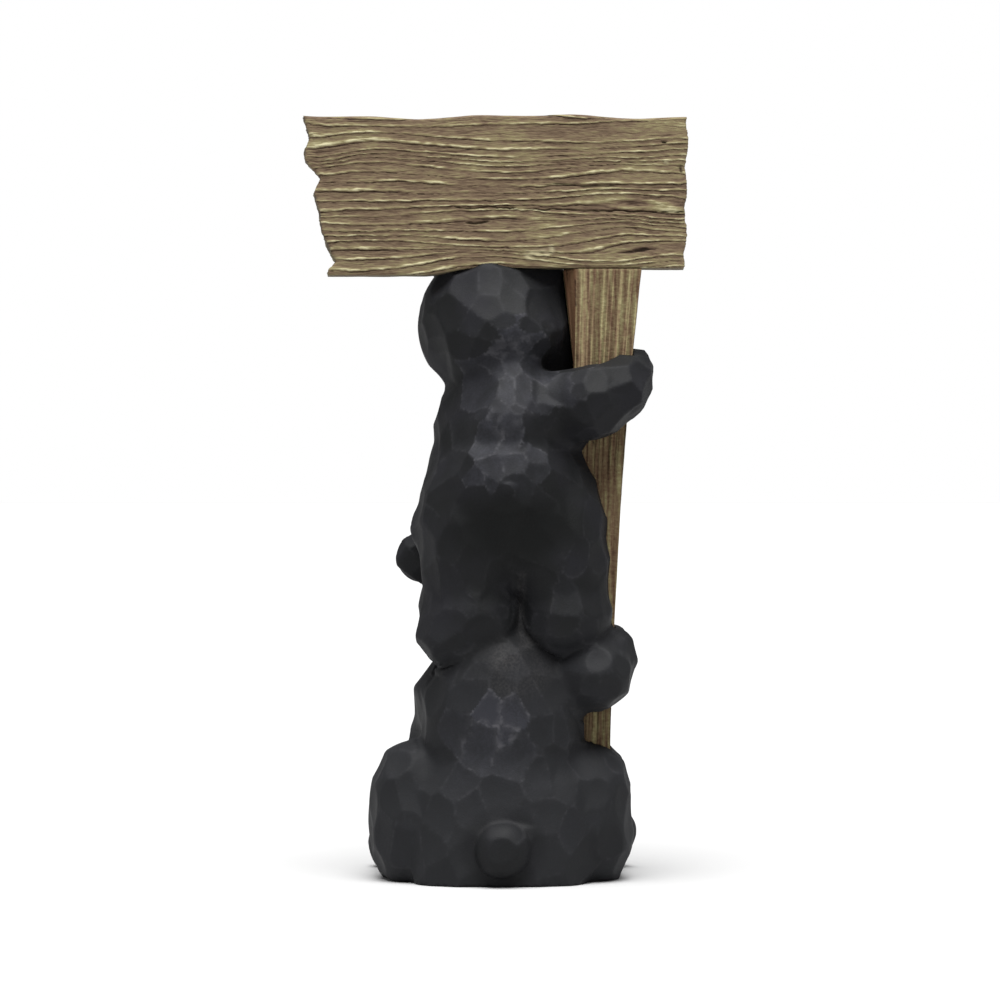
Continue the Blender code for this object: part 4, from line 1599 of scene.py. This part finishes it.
    def rough(self) -> bpy.types.Mesh:
        """The masses as balls, fused into one closed skin.

        Returns:
            The skin's mesh, in millimetres.
        """
        skin = bmesh.new()
        for mass in self.lower + self.upper:
            for centre, radii, square in mass.balls():
                ball = bmesh.ops.create_icosphere(skin, subdivisions=4, radius=1.0)["verts"]
                if square != 2.0:
                    for vertex in ball:
                        vertex.co /= sum(abs(side) ** square for side in vertex.co) ** (1.0 / square)
                place = Matrix.Translation(Vector(centre)) @ Matrix.Diagonal((*radii, 1.0))
                bmesh.ops.transform(skin, matrix=place, verts=ball)
        bmesh.ops.scale(skin, vec=(MM,) * 3, verts=skin.verts)
        thing = add_object("rough_bears", mesh_from(skin, "rough_bears"))
        fuse = thing.modifiers.new("fuse", "REMESH")
        fuse.mode = "VOXEL"
        fuse.voxel_size = self.voxel * MM
        return evaluated_copy(thing)

    def untangle(self, mesh: bpy.types.Mesh) -> None:
        """Smooths the few places where the skin runs through itself, deep in the creases.

        Args:
            mesh: The carved mesh.
        """
        most_passes = 8
        faces = [tuple(face.vertices) for face in mesh.polygons]
        for _ in range(most_passes):
            tree = BVHTree.FromPolygons(vertex_places(mesh).tolist(), faces)
            crossed = {
                index
                for first, second in tree.overlap(tree)
                if not set(faces[first]) & set(faces[second])
                for index in (*faces[first], *faces[second])
            }
            if not crossed:
                return
            shape = bmesh.new()
            shape.from_mesh(mesh)
            shape.verts.ensure_lookup_table()
            knot = {shape.verts[index] for index in crossed}
            knot |= {edge.other_vert(vertex) for vertex in set(knot) for edge in vertex.link_edges}
            for _ in range(3):
                bmesh.ops.smooth_vert(
                    shape,
                    verts=list(knot),
                    factor=0.5,
                    use_axis_x=True,
                    use_axis_y=True,
                    use_axis_z=True,
                )
            shape.to_mesh(mesh)
            shape.free()

    def thinned(self, piece: bpy.types.Object) -> bpy.types.Mesh:
        """Merges faces on the flats of the facets until the piece is light enough.

        Args:
            piece: The fitted bears.

        Returns:
            The lighter mesh.
        """
        triangles = sum(len(face.vertices) - 2 for face in piece.data.polygons)
        thin = piece.modifiers.new("thin", "DECIMATE")
        thin.ratio = min(1.0, self.most_triangles / triangles)
        return evaluated_copy(piece)

    def ground_cutter(self) -> bpy.types.Object:
        """Everything under the ground, which makes the flat underside.

        Returns:
            The cutter, which isn't part of the model.
        """
        size = 0.4
        block = bmesh.new()
        bmesh.ops.create_cube(block, size=size)
        bmesh.ops.translate(block, vec=(0.0, 0.0, -size / 2.0), verts=block.verts)
        return add_object("ground_cutter", mesh_from(block, "ground_cutter"))

    def face_coats(self, points: np.ndarray) -> tuple[np.ndarray, np.ndarray]:
        """Where the glossy noses and eyes and the brown muzzles are.

        Args:
            points: Rows of coordinates on the surface.

        Returns:
            The gloss and the brown at each point, from 0 to 1.
        """
        gloss, brown = np.zeros((2, len(points)))
        for nose in (self.lower_nose, self.upper_nose):
            gloss = np.maximum(gloss, 1.0 - smoothstep(-1.5, 0.6, nose.distance(points)))
        for bump in self.eye_bumps():
            gloss = np.maximum(gloss, smoothstep(0.12, 0.30, bump.press(points) / bump.depth))
        for muzzle, face_y in ((self.lower_muzzle, -78.0), (self.upper_muzzle, -60.0)):
            near = 1.0 - smoothstep(0.0, 4.0, muzzle.distance(points))
            brown = np.maximum(brown, near * (1.0 - smoothstep(face_y, face_y + 9.0, points[:, 1])))
        return gloss, brown

    def coats(self, mesh: bpy.types.Mesh, ridge: np.ndarray, rub_and_highlight: np.ndarray) -> None:
        """Keeps the paint data of the bears on their mesh.

        Args:
            mesh: The carved mesh.
            ridge: How near a ridge each vertex is.
            rub_and_highlight: How far each vertex's facet is rubbed and painted lighter as a
                highlight.
        """
        points = vertex_places(mesh) / MM
        y, z = points[:, 1], points[:, 2]
        from_tail = np.linalg.norm(points[:, ::2] - self.tail_place, axis=1)
        off_tail = 1.0 - (1.0 - smoothstep(22.0, 30.0, from_tail)) * (y > 50.0)
        # No rubbed paint, painted highlight or ridge lines on the tail.
        rub_and_highlight, ridge = rub_and_highlight * off_tail, ridge * off_tail
        # Lighter grey low down, fading out by 175 mm up, and less of it on the tail.
        lower_grey = 1.0 - 0.35 * smoothstep(40.0, 90.0, z) - 0.65 * smoothstep(140.0, 175.0, z)
        # How far each point is from the dusty nape and from the painted shade under the rump, in
        # shares of their reach.
        nape, rump = (
            np.linalg.norm((points - centre) / reach, axis=1)
            for centre, reach in (self.dusty_nape, self.rump_painted_shade)
        )
        parting = segment_distance(points * (1, 0, 1), *self.leg_parting)
        parting = (1.0 - smoothstep(1.0, 4.0, parting)) * (y > 20.0)
        # Painted highlight along the top of the tail's rim, where the light above falls.
        rim = window(from_tail - self.tail_radius, 1.1) * smoothstep(24.0, 36.0, z) * (y > 55.0)
        patches = 0.75 + 0.6 * Wander(81).at(points[:, 0] / 9.0, z / 11.0)
        gloss, brown = self.face_coats(points)
        values = {
            Coat.PALE: lower_grey * (0.4 + 0.6 * off_tail),
            Coat.RUB_AND_HIGHLIGHT: rub_and_highlight,
            # Pale lines on the facet ridges, strongest where the facets carry the rubbed paint and
            # painted highlight.
            Coat.RIDGE: np.clip(ridge * (0.08 + 0.62 * rub_and_highlight), 0.0, 1.0),
            Coat.GLOSS: gloss,
            Coat.BROWN: brown,
            # Dust on the nape, a painted highlight on the tail's rim and a paler line down the leg
            # parting.
            Coat.DUST_AND_HIGHLIGHT: 0.55 * patches * (1.0 - smoothstep(0.45, 1.05, nape))
            + 0.16 * rim
            + 0.4 * parting,
            # Painted shade under the rump.
            Coat.DARK: 0.9 * (1.0 - smoothstep(0.55, 1.15, rump)),
        }
        for coat, value in values.items():
            store_coat(mesh, coat, value)

    def build(self) -> bpy.types.Object:
        """Carves the bears, fits them to the post and the plank, and paints them.

        Returns:
            The bears.
        """
        mesh = self.rough()
        LOG.info("rough bears: %d vertices", len(mesh.vertices))
        points = self.settle(vertex_places(mesh) / MM, passes=3)
        normals = self.outward(points)
        points, ridge, rub_and_highlight = self.chisel(points, normals)
        for cut in self.fine_cuts():
            points = points - cut.press(points)[:, None] * normals
        move_vertices(mesh, points * MM)
        self.untangle(mesh)
        self.coats(mesh, ridge, rub_and_highlight)
        piece = add_object("bears_look", mesh)
        cutters = (
            self.ground_cutter(),
            self.post.socket_cutter(self.gap),
            self.board.seat_cutter(self.gap),
        )
        for cutter in cutters:
            fit = piece.modifiers.new(cutter.name, "BOOLEAN")
            fit.operation = "DIFFERENCE"
            fit.solver = "EXACT"
            fit.object = cutter
        fitted = add_object("bears_look", evaluated_copy(piece))
        for cutter in cutters:
            bpy.data.objects.remove(cutter)
        mesh = self.thinned(fitted)
        mesh.materials.clear()
        return painted_piece(mesh, self.finish, "bears")


@dataclass
class Studio:
    """A pale floor, soft light from above and the camera behind the bears. Metres."""

    floor_size: float = 400.0
    sun_way: Point = (0.0, 0.25, 0.97)
    sun_width: float = 50.0
    sun_strength: float = 6.3
    sky_strength: float = 0.35
    camera_distance: float = 2.264
    camera_height: float = 0.2433
    lens: float = 126.0
    finish: FloorPaint = field(default_factory=FloorPaint)

    def floor(self) -> bpy.types.Object:
        """Lays the floor.

        Returns:
            The floor.
        """
        sheet = bmesh.new()
        bmesh.ops.create_grid(sheet, x_segments=1, y_segments=1, size=self.floor_size / 2.0)
        bmesh.ops.translate(sheet, vec=(0.0, 0.0, -0.0003), verts=sheet.verts)
        mesh = mesh_from(sheet, "floor")
        mesh.materials.append(self.finish.material())
        floor = add_object("floor", mesh)
        return floor

    def light(self) -> None:
        """Hangs one wide soft light high above, a little towards the camera."""
        lamp = bpy.data.lights.new("soft_light", "SUN")
        lamp.angle = math.radians(self.sun_width)
        lamp.energy = self.sun_strength
        thing = bpy.data.objects.new("soft_light", lamp)
        thing.rotation_euler = Vector(self.sun_way).to_track_quat("Z", "Y").to_euler()
        bpy.context.scene.collection.objects.link(thing)

    def sky(self) -> None:
        """Makes the surroundings white to look at and dimmer as a light."""
        world = bpy.data.worlds.new("studio")
        world.use_nodes = True
        bpy.context.scene.world = world
        nodes, links = world.node_tree.nodes, world.node_tree.links
        background = nodes["Background"]
        path = nodes.new("ShaderNodeLightPath")
        level = nodes.new("ShaderNodeMapRange")
        level.inputs["To Min"].default_value = self.sky_strength
        level.inputs["To Max"].default_value = 1.0
        links.new(path.outputs["Is Camera Ray"], level.inputs["Value"])
        background.inputs["Color"].default_value = (1.0, 1.0, 1.0, 1.0)
        links.new(level.outputs["Result"], background.inputs["Strength"])

    def camera(self) -> None:
        """Sets the camera up behind the bears, level, as the photograph has it."""
        data = bpy.data.cameras.new("camera")
        data.lens = self.lens
        data.sensor_width = 36.0
        thing = bpy.data.objects.new("camera", data)
        thing.location = (0.0, self.camera_distance, self.camera_height)
        thing.rotation_euler = (math.radians(90.0), 0.0, math.radians(180.0))
        bpy.context.scene.collection.objects.link(thing)
        bpy.context.scene.camera = thing

    def build(self) -> None:
        """Sets the stage."""
        self.floor()
        self.sky()
        self.light()
        self.camera()
        bpy.context.scene.view_settings.view_transform = "Standard"


def main() -> None:
    """Builds the pieces in order and sets the stage."""
    logging.basicConfig(level=logging.INFO, format="%(name)s: %(message)s")
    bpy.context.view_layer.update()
    board = SignBoard()
    post = Signpost()
    builders: tuple[Callable[[], object], ...] = (
        board.build,
        post.build,
        Bears(post, board).build,
        Studio().build,
    )
    for build in builders:
        build()


if __name__ == "__main__":
    main()
